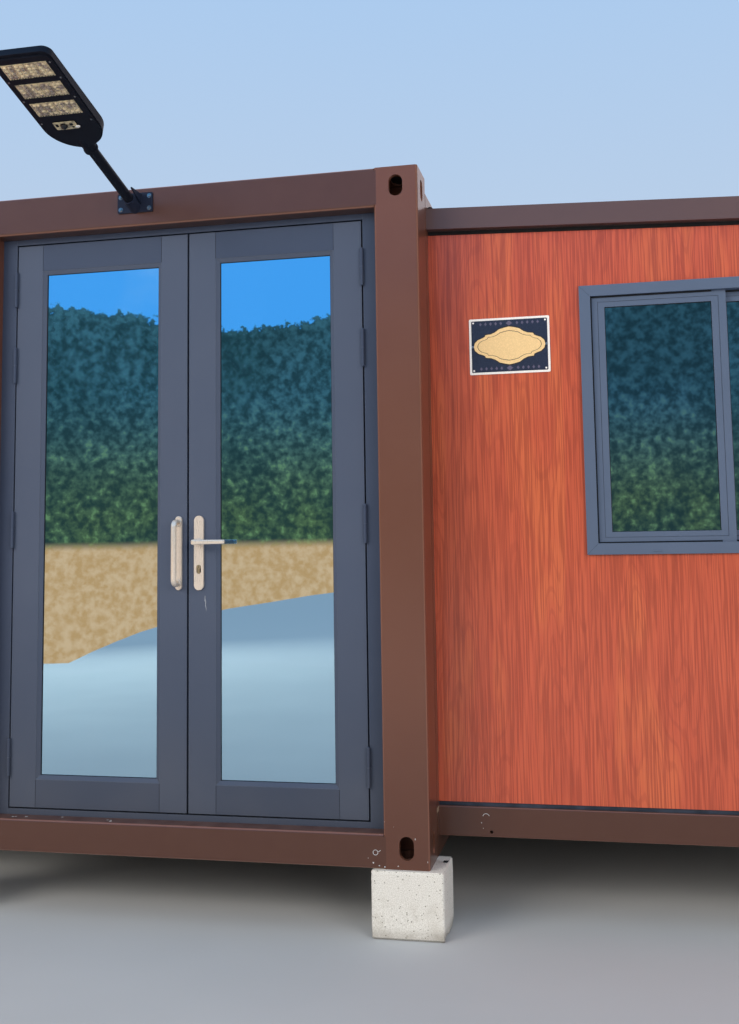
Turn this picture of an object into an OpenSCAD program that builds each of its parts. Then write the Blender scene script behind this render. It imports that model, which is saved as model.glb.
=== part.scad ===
// Expandable container cabin: a steel-framed core with a glazed double door in its front
// end, and a fold-out wing on each side that stands open.
// Sizes are in millimetres. The cabin is drawn with x to the right, y into the building
// from the front faces of the corner posts, and z up from the undersides of the posts.

/* [Core frame] */
// Half of the width over the corner posts
core_half_w = 922; // [850:1:1000]
// Length over the corner posts
core_l = 5850; // [4500:10:6100]
// Height over the corner fittings
core_h = 2480; // [2400:5:2700]
// Face width of a corner post
post_w = 161; // [140:1:180]
// Depth of a corner post and its fittings
post_d = 178; // [165:1:200]
// Outside corner radius of posts and beams
bend_r = 9; // [4:0.5:12]
// Height of a corner fitting
fitting_h = 160; // [130:1:180]
// Wall of a corner fitting
fitting_wall = 20; // [14:1:26]
// Deck of a corner fitting, at its top or underside
fitting_deck = 28; // [20:1:32]
// Width of a lashing slot in a fitting
slot_w = 51; // [45:0.5:55]
// Length of a lashing slot in a fitting
slot_l = 79.4; // [70:0.2:90]
// Height of a slot's centre from the outer face of its fitting
slot_drop = 71; // [62:1:76]
// Width of the lifting slot in a fitting's deck
lift_w = 63.5; // [55:0.5:70]
// Length of the lifting slot in a fitting's deck
lift_l = 110; // [95:1:124]
// Height of the front and rear top beams
header_h = 147; // [120:1:155]
// Height of the front and rear floor beams
sill_h = 117; // [100:1:130]
// Height of a top side rail above the wing roof's lowest point
top_rail_over = 62; // [40:1:90]
// Width of the top and bottom side rails
rail_w = 80; // [60:1:100]
// Thickness of the steel skin of the channels
skin_t = 4; // [3:0.5:6]
// Depth of the closing posts behind the corner posts
side_jamb_t = 60; // [40:1:80]

/* [Core roof and floor] */
// Thickness of the core's roof panel, without its ribs
roof_t = 75; // [50:1:90]
// Height of a roof rib
rib_h = 16; // [8:1:22]
// Spacing of the roof ribs
rib_pitch = 250; // [180:5:400]
// Width of a roof rib at its foot
rib_foot = 70; // [50:1:90]
// Width of a roof rib at its top
rib_top = 34; // [20:1:45]
// Height of the floor above the undersides of the posts
floor_z = 169; // [150:1:185]
// Thickness of the floor board
board_t = 18; // [12:1:24]
// Height of a floor joist
joist_h = 84; // [60:1:100]
// Width of a floor joist
joist_w = 40; // [30:1:60]
// Greatest spacing of the floor joists
joist_pitch = 620; // [450:10:900]

/* [Doorway] */
// Distance from the post faces back to the door frame
door_y = 67; // [50:1:90]
// Depth of the door frame
frame_d = 80; // [70:1:95]
// Visible width of the door frame's sides
jamb_w = 59; // [40:1:65]
// Visible height of the door frame's head
head_h = 22; // [18:1:45]
// Visible height of the threshold
threshold_h = 21; // [16:1:34]
// Reach of the door stop beyond the frame's face
stop_w = 14; // [10:1:18]
// Depth of the door stop
stop_d = 22; // [16:1:26]
// Gap between a leaf and the frame
leaf_gap = 6; // [5:0.5:8]
// Gap between the two leaves
meeting_gap = 8; // [7.5:0.5:10]
// Distance of the leaves' meeting line to the right of the centre line
meeting_x = 18; // [-30:1:30]

/* [Door leaves] */
// Thickness of a leaf
leaf_t = 50; // [40:1:52]
// Width of a leaf's upright stiles
stile_w = 106; // [90:1:120]
// Height of a leaf's rails
rail_h = 103; // [80:1:120]
// Width of the sloping bead round the glass
bead_w = 15; // [10:1:20]
// Thickness of the bead at the glass edge
bead_t = 5; // [3:0.5:8]
// Thickness of the bead at the frame
bead_foot = 14; // [10:1:18]
// Thickness of the double glazing
pane_t = 20; // [12:1:24]

/* [Door hardware] */
// Heights of the lower hinges' centres above the bottom of a leaf
low_hinges = [183, 1042]; // [160:1:1100]
// Distances of the upper hinges' centres below the top of a leaf
high_hinges = [476, 174]; // [150:1:600]
// Height of a hinge
hinge_h = 136; // [110:1:150]
// Radius of a hinge barrel
barrel_r = 6.5; // [5.5:0.5:8]
// Radius of a hinge pin
pin_r = 3.5; // [3:0.5:4]
// Running clearance of a hinge pin
pin_gap = 0.05; // [0.02:0.01:0.1]
// Thickness of a hinge flap
flap_t = 3; // [2:0.5:4]
// Width of a hinge flap
flap_w = 8; // [6:1:14]
// Distance from the frame's face forward to the hinge axis
hinge_out = 8.5; // [8:0.5:10]
// Gap between the two knuckles of a hinge
knuckle_gap = 0.5; // [0.3:0.1:1.5]
// Height of the lever's pivot above the posts' undersides
lever_z = 1128; // [1000:1:1200]
// Distance from the leaves' meeting line to the handles' centre line
handle_x = 46; // [42:1:56]
// Width of a handle plate
plate_w = 37; // [30:1:42]
// Height of a handle plate
plate_h = 275; // [220:1:300]
// Thickness of a handle plate
plate_t = 9; // [6:0.5:12]
// Height of the plate's top above the lever's pivot
plate_rise = 98; // [80:1:110]
// Reach of the lever from its pivot to its tip
lever_l = 118; // [100:1:130]
// Radius of the lever's neck
neck_r = 9.5; // [8:0.5:12]
// Distance from the plate's face out to the lever's centre
lever_out = 46; // [38:1:52]
// Running clearance of the lever's neck
neck_gap = 0.1; // [0.05:0.01:0.1]
// Distance from the lever's pivot down to the key cylinder
key_drop = 100; // [85:1:110]
// Width of the key cylinder
key_w = 17; // [14:0.5:18]
// Height of the key cylinder
key_h = 33; // [30:0.5:36]
// Clearance round the key cylinder
key_gap = 0.2; // [0.1:0.05:0.4]
// Distance that the key cylinder stands out of its plate
key_out = 2; // [1:0.5:4]
// Distance from the leaves' meeting line to the pull handle's centre line
pull_x = 35; // [22:1:44]
// Width of the pull handle's plate
pull_plate_w = 26; // [22:1:32]
// Length of the pull handle's grip
pull_l = 250; // [200:1:260]
// Distance from the plate's face out to the grip's centre
pull_out = 44; // [36:1:55]
// Radius of the pull handle's grip
grip_r = 8; // [6:0.5:10]

/* [Wings] */
// Width of a wing over its walls, from the core's side
wing_w = 2078; // [1700:1:2400]
// Distance from the post faces back to a wing's front wall
wing_y = 224; // [200:1:260]
// Thickness of the wall panels
wall_t = 65; // [50:1:75]
// Clearance of the walls' tops under the wing roof
wall_gap = 0.3; // [0.2:0.1:1]
// Distance of the wing roof's top at the core below the core's top
wing_roof_drop = 111; // [80:1:150]
// Fall of the wing roof over one metre
wing_fall = 38; // [20:1:60]
// Thickness of the wing roof at its fascia
fascia_h = 80; // [70:1:95]
// Distance that a fascia stands in front of its wall
fascia_out = 40; // [25:1:55]
// Height of a wing's floor beams
wing_beam_h = 104; // [90:1:120]
// Width of a wing's floor beams
wing_beam_w = 60; // [45:1:75]
// Distance that a floor beam stands in front of its wall
wing_beam_out = 8; // [0:1:20]
// Radius of the hole in a floor end beam
drain_r = 6; // [4:0.5:8]
// Distance from the core's side to the hole in a floor end beam
drain_in = 188; // [120:1:300]
// Height of the hole above the beam's underside
drain_z = 18; // [14:1:30]
// Height of the dark track under the walls
track_h = 15; // [10:1:22]
// Distance of the track's face behind the wall's face
track_in = 6; // [2:1:12]
// Spacing of the seams on a wing's roof
seam_pitch = 300; // [250:5:450]
// Height of a seam on a wing's roof
seam_h = 12; // [8:1:18]
// Width of the angle on a wing's outer corners
trim_w = 45; // [35:1:60]
// Thickness of the angle on a wing's outer corners
trim_t = 1.5; // [1:0.1:3]

/* [Windows] */
// Width over a window's frame
window_w = 985; // [800:5:1200]
// Height over a window's frame
window_h = 980; // [800:2:1100]
// Distance of a window's centre below the core's top
window_drop = 928; // [880:1:1030]
// Distance from the core's side to a front window's centre
window_in = 1049; // [950:1:1150]
// Face width of a window's frame
window_face = 40; // [34:1:50]
// Thickness of the frame's flange on the wall
window_flange = 12; // [8:1:16]
// Overlap of the flange on the wall
window_lap = 12; // [8:1:16]
// Width of a sash stile
sash_stile = 50; // [40:1:60]
// Height of a sash rail
sash_rail = 40; // [34:1:50]
// Thickness of a sash
sash_t = 22; // [18:1:24]
// Overlap of the two sashes
sash_lap = 46; // [40:1:60]
// Thickness of a window's glass
glass_t = 6; // [4:1:10]
// Number of windows in a wing's side wall
side_windows = 2; // [1:1:3]

/* [Sign] */
// Width of the sign plate
sign_w = 297; // [250:1:320]
// Height of the sign plate
sign_h = 210; // [180:1:240]
// Thickness of the sign plate
sign_t = 3; // [2:0.5:5]
// Distance from the core's side to the plate's centre
sign_in = 298; // [260:1:340]
// Distance of the plate's centre below the core's top
sign_drop = 643; // [560:1:760]

/* [Lamp] */
// Distance of the lamp to the left of the centre line
lamp_x = 170; // [100:1:250]
// Distance of the arm's root below the core's top
lamp_drop = 75; // [65:1:90]
// Upward tilt of the arm and head
lamp_tilt = 15; // [8:0.5:18]
// Width of the bracket's plate
bracket_w = 142; // [120:1:160]
// Height of the bracket's plate
bracket_h = 76; // [66:1:84]
// Distance of the plate's centre below the core's top
bracket_drop = 58; // [50:1:68]
// Thickness of the bracket's plate
bracket_t = 6; // [4:0.5:8]
// Radius of a bracket bolt hole
bracket_hole_r = 4.5; // [3:0.5:6]
// Distance across the bracket's bolt holes
bracket_bolts_w = 116; // [96:1:122]
// Distance between the bracket's bolt holes, up and down
bracket_bolts_h = 48; // [36:1:54]
// Length of the bracket's socket on the arm
socket_l = 52; // [40:1:70]
// Wall of the bracket's socket
socket_wall = 4; // [3:0.5:5]
// Reach of the bracket's cheeks from the plate
cheek_out = 90; // [70:1:100]
// Height of the bracket's cheeks at the plate
cheek_h = 40; // [30:1:50]
// Thickness of the bracket's cheeks
cheek_t = 5; // [4.5:0.5:7]
// Radius of the arm
arm_r = 19; // [16:0.5:22]
// Distance along the arm from its root to the head
arm_l = 418; // [380:1:460]
// Length of the collar on the arm before the head
collar_l = 34; // [24:1:44]
// Wall of the collar
collar_wall = 4; // [3:0.5:5]
// Length of the head
head_l = 485; // [450:1:560]
// Width of the head
head_w = 208; // [190:1:240]
// Thickness of the head at the arm
head_near_t = 40; // [38:1:48]
// Thickness of the head at its far end
head_far_t = 27; // [22:1:34]
// Radius of the head's shoulders
shoulder_r = 120; // [110:1:140]
// Radius of the head's far corners
head_corner_r = 30; // [20:1:40]
// Distance of the head's underside below the arm's centre line
head_drop = 20; // [18:1:24]
// Thickness of the cover on the head's underside, and of the light panels in it
cover_t = 5; // [4:0.5:7]
// Distance of the cover's sides inside the head's
cover_in = 4; // [2:0.5:6]
// Distance of the cover's far end inside the head's
cover_far = 14; // [8:1:20]
// Width of a light panel
led_w = 158; // [140:1:170]
// Length of a light panel
led_l = 69; // [60:1:76]
// Spacing of the light panels
led_pitch = 95; // [86:1:100]
// Distance from the arm's end to the first light panel's centre
led_first = 222; // [208:1:228]
// Distance from the arm's end to the sensor's centre
sensor_at = 135; // [124:1:142]
// Distance of the sensor's centre to the left of the head's middle
sensor_left = 9; // [0:1:14]
// Width of the sensor's plate
sensor_w = 87; // [74:1:96]
// Length of the sensor's plate
sensor_l = 47; // [38:1:54]
// Thickness of the sensor's plate
sensor_t = 3; // [2:0.5:4]
// Radius of the sensor's dome
dome_r = 12; // [9:0.5:15]
// Length of the solar panel on the head
solar_l = 305; // [260:1:330]
// Distance of the solar panel's edges inside the head's
solar_in = 14; // [12:1:20]
// Thickness of the solar panel on the head
solar_t = 5; // [3:0.5:7]

/* [Supports] */
// Width of a concrete block, across the cabin
block_w = 254; // [220:1:300]
// Length of a concrete block, along the cabin
block_l = 215; // [200:1:300]
// Height of a concrete block
block_h = 225; // [190:1:260]
// Distance from the post faces back to the front block's face
block_in = -22; // [-40:1:10]
// Distance of a block's centre outside its post's centre
block_out = 4; // [0:1:15]
// Distance that the front left block stands farther out than the others
left_block_out = 104; // [0:1:110]
// Radius of a block's upright corners
block_r = 10; // [5:1:16]
// Width of the lifting hole in a block's top
block_hole_w = 16; // [10:1:20]
// Length of the lifting hole in a block's top
block_hole_l = 30; // [20:1:36]
// Depth of the lifting hole in a block's top
block_hole_d = 45; // [30:1:60]
// Distance of the lifting hole's centre inside the block's outer side
block_hole_in = 16; // [14:1:24]
// Distance of the lifting hole's centre behind the block's front face
block_hole_y = 146; // [100:1:160]
// Radius of a wing foot's screw
screw_r = 14; // [10:1:18]
// Width of a wing foot's plates
foot_w = 140; // [110:1:180]
// Thickness of a wing foot's plates
foot_t = 8; // [6:1:12]

/* [Hidden] */
$fn = 48;
cut = 1;

// Core frame
post_x = core_half_w - post_w;
door_top = core_h - header_h;
wing_roof_z = core_h - wing_roof_drop;
wing_x = core_half_w + wing_w;
rail_x = core_half_w - rail_w;
rail_y = [post_d, core_l - post_d];
top_rail_z = [roof_low(core_half_w), wing_roof_z + top_rail_over];
joist_z = floor_z - board_t - joist_h;

// Doorway and leaves
frame_in = post_x - jamb_w;
right_x = [meeting_x + meeting_gap / 2, frame_in - leaf_gap];
left_x = [meeting_gap / 2 - meeting_x, frame_in - leaf_gap];
leaf_z = [sill_h + threshold_h + leaf_gap, door_top - head_h - leaf_gap];
leaf_h = leaf_z[1] - leaf_z[0];
stop_y = door_y + frame_d - stop_d;
light_z = [leaf_z[0] + rail_h, leaf_z[1] - rail_h];
pane_y = door_y + (leaf_t - pane_t) / 2;
hinge_x = frame_in - leaf_gap / 2;
hinge_y = door_y - hinge_out;
hinge_z = concat([for (z = low_hinges) leaf_z[0] + z], [for (d = high_hinges) leaf_z[1] - d]);
lever_x = meeting_x + handle_x;

// Wings
ends_y = [wing_y, core_l - wing_y];
wall_z = floor_z + track_h;
inner_x = wing_x - wall_t;
fascia_y = wing_y - fascia_out;
beam_y = wing_y - wing_beam_out;
window_x = core_half_w + window_in;
window_z = core_h - window_drop;
sign_z = core_h - sign_drop;
body_w = window_w - 2 * window_lap;
body_h = window_h - 2 * window_lap;
clear_w = window_w - 2 * window_face;
clear_h = window_h - 2 * window_face;
sash_w = (clear_w + sash_lap) / 2;

// Lamp and supports
lamp_z = core_h - lamp_drop;
collar_r = arm_r + collar_wall;
head_slope = atan((head_near_t - head_far_t) / head_l);
lamp_reach = (arm_l + head_l) * cos(lamp_tilt) + (head_drop - cover_t) * sin(lamp_tilt);
block_x = core_half_w - post_w / 2 + block_out;
foot_top = floor_z - wing_beam_h;
foot_h = foot_top + block_h;

// Middle of the plan along y, from the lamp's tip to the farther of wall and block
mid_y = (core_l + max(0, -block_in) - lamp_reach) / 2;

frame_colour = "#5d4338";
door_colour = "#4b5261";
window_colour = "#5f6b80";
wood_colour = "#ad4a30";
panel_colour = "#e4e2dc";
steel_colour = "#c9c2b6";

function roof_top(x) = wing_roof_z - (x - core_half_w) * wing_fall / 1000;
function roof_low(x) = roof_top(x) - fascia_h;

// Placing

module on_site() translate([0, -mid_y, block_h]) children();

module both_sides() {
    children();
    mirror([1, 0, 0]) children();
}

module both_ends() {
    children();
    translate([0, core_l, 0]) mirror([0, 1, 0]) children();
}

module four_corners() both_sides() both_ends() children();

// An outline drawn in x and z, given its length along y
module along_y(len) translate([0, len, 0]) rotate([90, 0, 0]) linear_extrude(len) children();

// An outline drawn in y and z, given its length along x
module along_x(len) rotate([90, 0, 90]) linear_extrude(len) children();

// Outlines

module round_rect(w, h, r) {
    translate([r, 0]) square([w - 2 * r, h]);
    translate([0, r]) square([w, h - 2 * r]);
    for (x = [r, w - r], y = [r, h - r]) translate([x, y]) circle(r);
}

module slot(w, len) {
    square([w, len - w], center = true);
    for (s = [-1, 1]) translate([0, s * (len - w) / 2]) circle(d = w);
}

// Channel with its back on the left and its lips on the right
module channel(w, h, t) difference() {
    square([w, h]);
    translate([t, t]) square([w, h - 2 * t]);
}

// Core frame

module corner_fitting() difference() {
    translate([post_x, 0, 0]) linear_extrude(fitting_h) round_rect(post_w, post_d, bend_r);
    translate([post_x + fitting_wall, fitting_wall, fitting_wall])
        cube([post_w - 2 * fitting_wall, post_d - 2 * fitting_wall,
              fitting_h - fitting_wall - fitting_deck]);
    translate([post_x + post_w / 2, 0, fitting_h - slot_drop]) rotate([90, 0, 0])
        linear_extrude(2 * fitting_wall + cut, center = true) slot(slot_w, slot_l);
    translate([core_half_w, post_d / 2, fitting_h - slot_drop]) rotate([90, 0, 90])
        linear_extrude(2 * fitting_wall + cut, center = true) slot(slot_w, slot_l);
    translate([post_x + post_w / 2, post_d / 2, fitting_h])
        linear_extrude(2 * fitting_deck + cut, center = true) slot(lift_w, lift_l);
}

module top_fittings() color(frame_colour) on_site()
    four_corners() translate([0, 0, core_h - fitting_h]) corner_fitting();

module bottom_fittings() color(frame_colour) on_site()
    four_corners() translate([0, 0, fitting_h]) mirror([0, 0, 1]) corner_fitting();

module corner_posts() color(frame_colour) on_site() four_corners()
    translate([post_x, 0, fitting_h])
        linear_extrude(core_h - 2 * fitting_h) round_rect(post_w, post_d, bend_r);

module header_beams() color(frame_colour) on_site() both_ends()
    translate([-post_x, 0, door_top]) along_x(2 * post_x) round_rect(post_d, header_h, bend_r);

module sill_beams() color(frame_colour) on_site() both_ends()
    translate([-post_x, 0, 0]) along_x(2 * post_x) round_rect(post_d, sill_h, bend_r);

module top_side_rails() color(frame_colour) on_site() both_sides()
    translate([rail_x, rail_y[0], top_rail_z[0]]) along_y(rail_y[1] - rail_y[0])
        round_rect(rail_w, top_rail_z[1] - top_rail_z[0], bend_r);

module bottom_side_rails() color(frame_colour) on_site() both_sides()
    translate([rail_x, rail_y[0], 0]) along_y(rail_y[1] - rail_y[0])
        square([rail_w, floor_z - board_t]);

module side_jambs() color(frame_colour) on_site() four_corners()
    translate([core_half_w - side_jamb_t, post_d, floor_z])
        cube([side_jamb_t, wing_y + wall_t - post_d, top_rail_z[0] - floor_z]);

// Core roof, floor and back wall

rib_n = floor((rail_y[1] - rail_y[0] - rib_pitch) / rib_pitch);
rib_start = (rail_y[1] + rail_y[0] - (rib_n - 1) * rib_pitch) / 2;

function rib_points(y) = [[y - rib_foot / 2, roof_t], [y - rib_top / 2, roof_t + rib_h],
                          [y + rib_top / 2, roof_t + rib_h], [y + rib_foot / 2, roof_t]];

module core_roof() color(panel_colour) on_site()
    translate([-rail_x, 0, door_top]) along_x(2 * rail_x)
        polygon(concat([[rail_y[0], 0], [rail_y[0], roof_t]],
            [for (i = [0 : rib_n - 1]) each rib_points(rib_start + i * rib_pitch)],
            [[rail_y[1], roof_t], [rail_y[1], 0]]));

module core_floor() color("#a08a72") on_site()
    translate([-core_half_w, rail_y[0], floor_z - board_t])
        cube([2 * core_half_w, rail_y[1] - rail_y[0], board_t]);

// Joists between two y values, spaced evenly, with channels open away from the front
module joists(x0, x1, y0, y1) {
    bays = ceil((y1 - y0 - joist_w) / joist_pitch);
    for (i = [0 : bays])
        translate([x0, y0 + i * (y1 - y0 - joist_w) / bays, joist_z])
            along_x(x1 - x0) channel(joist_w, joist_h, skin_t);
}

module floor_joists() color(frame_colour) on_site() {
    joists(-rail_x, rail_x, rail_y[0], rail_y[1]);
    both_sides() joists(core_half_w, wing_x - wing_beam_w,
        beam_y + wing_beam_w + joist_pitch / 2, core_l - beam_y - wing_beam_w - joist_pitch / 2);
}

module core_back_wall() color(wood_colour) on_site()
    translate([-post_x, core_l - door_y - wall_t, sill_h])
        cube([2 * post_x, wall_t, door_top - sill_h]);

// Doorway

module door_jambs() color(door_colour) on_site() both_sides() {
    translate([frame_in, door_y, sill_h]) cube([jamb_w, frame_d, door_top - sill_h]);
    translate([frame_in - stop_w, stop_y, sill_h + threshold_h])
        cube([stop_w, stop_d, door_top - head_h - sill_h - threshold_h]);
}

// Level bar of the door frame from z up, with its stop between the jambs' stops
module frame_bar(z, h, stop_z) {
    translate([-frame_in, door_y, z]) cube([2 * frame_in, frame_d, h]);
    translate([stop_w - frame_in, stop_y, stop_z])
        cube([2 * (frame_in - stop_w), stop_d, stop_w]);
}

module door_head() color(door_colour) on_site()
    frame_bar(door_top - head_h, head_h, door_top - head_h - stop_w);

module door_threshold() color(door_colour) on_site()
    frame_bar(sill_h, threshold_h, sill_h + threshold_h);

// Door leaves, drawn on the right from x[0] at the meeting line to x[1] at the hinges

module leaf_stiles(x) for (left = [x[0], x[1] - stile_w])
    translate([left, door_y, leaf_z[0]]) cube([stile_w, leaf_t, leaf_h]);

// Holes through a leaf for the lever's neck and the key cylinder
module lock_holes() {
    translate([lever_x, door_y + leaf_t / 2, lever_z]) rotate([90, 0, 0])
        cylinder(r = neck_r + cut, h = leaf_t + 2 * cut, center = true);
    translate([lever_x, door_y + leaf_t / 2, lever_z - key_drop]) rotate([90, 0, 0])
        linear_extrude(leaf_t + 2 * cut, center = true) slot(key_w + 2 * key_gap, key_h + 2 * key_gap);
}

module leaf_rails(x) for (z = [leaf_z[0], leaf_z[1] - rail_h])
    translate([x[0] + stile_w, door_y, z]) cube([x[1] - x[0] - 2 * stile_w, leaf_t, rail_h]);

// One side of a bead ring: the sloping bar cut at 45 degrees at both ends
module bead_bar(len) intersection() {
    along_x(len) polygon([[pane_y - door_y, 0], [pane_y - door_y, bead_w],
                          [pane_y - door_y - bead_t, bead_w], [pane_y - door_y - bead_foot, 0]]);
    along_y(pane_y - door_y) polygon([[0, 0], [len, 0], [len - bead_w, bead_w], [bead_w, bead_w]]);
}

module bead_ring(w, h) for (a = [0, 90, 180, 270])
    rotate([0, -a, 0]) translate([-(a % 180 == 0 ? w : h) / 2, 0, -(a % 180 == 0 ? h : w) / 2])
        bead_bar(a % 180 == 0 ? w : h);

module leaf_beads(x) translate([(x[0] + x[1]) / 2, door_y, (light_z[0] + light_z[1]) / 2])
    bead_ring(x[1] - x[0] - 2 * stile_w, light_z[1] - light_z[0]);

module leaf_glass(x) translate([x[0] + stile_w, pane_y, light_z[0]])
    cube([x[1] - x[0] - 2 * stile_w, pane_t, light_z[1] - light_z[0]]);

module right_leaf_stiles() color(door_colour) on_site() difference() {
    leaf_stiles(right_x);
    lock_holes();
}

module left_leaf_stiles() color(door_colour) on_site() mirror([1, 0, 0]) leaf_stiles(left_x);
module right_leaf_rails() color(door_colour) on_site() leaf_rails(right_x);
module left_leaf_rails() color(door_colour) on_site() mirror([1, 0, 0]) leaf_rails(left_x);
module right_leaf_beads() color(door_colour) on_site() leaf_beads(right_x);
module left_leaf_beads() color(door_colour) on_site() mirror([1, 0, 0]) leaf_beads(left_x);
module right_leaf_glass() color("#5f9fb5") on_site() leaf_glass(right_x);
module left_leaf_glass() color("#5f9fb5") on_site() mirror([1, 0, 0]) leaf_glass(left_x);

// Hinges: the frame's half carries the pin, the leaf's half turns on it

knuckle_h = (hinge_h - knuckle_gap) / 2;

module at_hinges() for (z = hinge_z)
    translate([hinge_x, hinge_y, z - hinge_h / 2]) children();

module frame_hinge() {
    cylinder(r = barrel_r, h = knuckle_h);
    cylinder(r = pin_r, h = hinge_h - flap_t - knuckle_gap);
    translate([0, hinge_out - flap_t, 0]) cube([flap_w, flap_t, knuckle_h]);
    cube([flap_t, hinge_out, knuckle_h]);
}

module leaf_hinge() translate([0, 0, knuckle_h + knuckle_gap]) difference() {
    union() {
        cylinder(r = barrel_r, h = knuckle_h);
        translate([-flap_w, hinge_out - flap_t, 0]) cube([flap_w, flap_t, knuckle_h]);
        translate([-flap_t, 0, 0]) cube([flap_t, hinge_out, knuckle_h]);
    }
    translate([0, 0, -cut]) cylinder(r = pin_r + pin_gap, h = knuckle_h - flap_t + cut);
}

module frame_hinges() color(door_colour) on_site() both_sides() at_hinges() frame_hinge();
module right_leaf_hinges() color(door_colour) on_site() at_hinges() leaf_hinge();
module left_leaf_hinges() color(door_colour) on_site()
    mirror([1, 0, 0]) at_hinges() leaf_hinge();

// Handles

module handle_plate(w) rotate([90, 0, 0])
    linear_extrude(plate_t) translate([0, plate_rise - plate_h / 2]) slot(w, plate_h);

// Places its child on the outside face of a leaf, and again on the inside face
module both_faces() {
    translate([lever_x, door_y, lever_z]) children();
    translate([lever_x, door_y + leaf_t, lever_z]) mirror([0, 1, 0]) children();
}

module lever_plates() color(steel_colour) on_site() both_faces() difference() {
    handle_plate(plate_w);
    rotate([90, 0, 0]) translate([0, 0, -cut])
        cylinder(r = neck_r + neck_gap, h = plate_t + 2 * cut);
    translate([0, 0, -key_drop]) rotate([90, 0, 0]) translate([0, 0, -cut])
        linear_extrude(plate_t + 2 * cut) slot(key_w + 2 * key_gap, key_h + 2 * key_gap);
}

module lock_cylinder() color("#b9a27a") on_site()
    translate([lever_x, door_y - plate_t - key_out, lever_z - key_drop]) rotate([-90, 0, 0])
        difference() {
            linear_extrude(leaf_t + 2 * (plate_t + key_out)) slot(key_w, key_h);
            linear_extrude(2 * key_out) square([key_out, key_w / 2], center = true);
        }

module lever_half() {
    rotate([90, 0, 0]) cylinder(r = neck_r, h = plate_t + lever_out);
    translate([0, -plate_t - lever_out, 0]) rotate([0, 90, 0])
        linear_extrude(lever_l - neck_r) slot(2 * neck_r, 2 * neck_r + 3);
    translate([0, -plate_t - lever_out, 0]) sphere(r = neck_r);
    translate([lever_l - neck_r, -plate_t - lever_out, 0]) sphere(r = neck_r);
}

module door_lever() color(steel_colour) on_site() {
    both_faces() lever_half();
    translate([lever_x, door_y, lever_z]) rotate([-90, 0, 0])
        cylinder(r = neck_r, h = leaf_t);
}

module pull_handle() color(steel_colour) on_site()
    translate([meeting_x - pull_x, door_y, lever_z]) {
        handle_plate(pull_plate_w);
        translate([0, -plate_t - pull_out, plate_rise - plate_h / 2]) {
            cylinder(r = grip_r, h = pull_l - 2 * grip_r, center = true);
            for (s = [-1, 1]) translate([0, 0, s * (pull_l / 2 - grip_r)]) {
                sphere(r = grip_r);
                rotate([-90, 0, 0]) cylinder(r = grip_r, h = pull_out);
            }
        }
    }

// Wings

// Roof outline between two x values, from its underside to its top
module roof_slice(x0, x1) polygon([[x0, roof_low(x0)], [x1, roof_low(x1)],
                                   [x1, roof_top(x1)], [x0, roof_top(x0)]]);

seam_l = (wing_w - cut) / cos(atan(wing_fall / 1000));
seam_n = floor((ends_y[1] - ends_y[0]) / seam_pitch);

module wing_roofs() color(panel_colour) on_site() both_sides() {
    translate([0, ends_y[0], 0]) along_y(ends_y[1] - ends_y[0]) roof_slice(core_half_w, wing_x);
    for (i = [0 : seam_n - 1])
        translate([core_half_w + cut, core_l / 2 + (i - (seam_n - 1) / 2) * seam_pitch, wing_roof_z])
            rotate([0, atan(wing_fall / 1000), 0]) along_x(seam_l)
                polygon([[-rib_foot / 4, -cut], [-rib_top / 4, seam_h],
                         [rib_top / 4, seam_h], [rib_foot / 4, -cut]]);
}

module end_fascias() color(frame_colour) on_site() both_sides() both_ends()
    translate([0, fascia_y, 0]) along_y(fascia_out) roof_slice(core_half_w, wing_x);

module eave_beams() color(frame_colour) on_site() both_sides()
    translate([0, fascia_y, 0]) along_y(core_l - 2 * fascia_y)
        roof_slice(wing_x, wing_x + fascia_out);

// Puts its child at a wing wall's window, with the outside face of the wall at y = 0
module at_end_window() translate([window_x, wing_y, window_z]) children();

module at_side_windows() for (i = [1 : side_windows])
    translate([wing_x, ends_y[0] + (ends_y[1] - ends_y[0]) * (2 * i - 1) / (2 * side_windows),
               window_z]) rotate([0, 0, 90]) children();

module at_windows() both_sides() {
    both_ends() at_end_window() children();
    at_side_windows() children();
}

module window_hole() translate([-body_w / 2, -cut, -body_h / 2])
    cube([body_w, wall_t + 2 * cut, body_h]);

module end_walls() both_ends() difference() {
    translate([0, wing_y, 0]) along_y(wall_t)
        polygon([[core_half_w, wall_z], [inner_x, wall_z],
                 [inner_x, roof_low(inner_x) - wall_gap],
                 [core_half_w, roof_low(core_half_w) - wall_gap]]);
    at_end_window() window_hole();
}

module right_end_walls() color(wood_colour) on_site() end_walls();
module left_end_walls() color(wood_colour) on_site() mirror([1, 0, 0]) end_walls();

module side_wall() difference() {
    translate([0, ends_y[0], 0]) along_y(ends_y[1] - ends_y[0])
        polygon([[inner_x, wall_z], [wing_x, wall_z],
                 [wing_x, roof_low(wing_x) - wall_gap], [inner_x, roof_low(inner_x) - wall_gap]]);
    at_side_windows() window_hole();
}

module right_side_wall() color(wood_colour) on_site() side_wall();
module left_side_wall() color(wood_colour) on_site() mirror([1, 0, 0]) side_wall();

module wing_floors() color("#a08a72") on_site() both_sides()
    translate([core_half_w, beam_y + wing_beam_w, floor_z - board_t])
        cube([wing_w - wing_beam_w, core_l - 2 * (beam_y + wing_beam_w), board_t]);

module floor_end_beams() color(frame_colour) on_site() four_corners()
    translate([core_half_w, beam_y, floor_z - wing_beam_h]) difference() {
        along_x(wing_w) round_rect(wing_beam_w, wing_beam_h, bend_r / 2);
        translate([drain_in, 0, drain_z]) rotate([90, 0, 0])
            cylinder(r = drain_r, h = wing_beam_w, center = true);
    }

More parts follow.
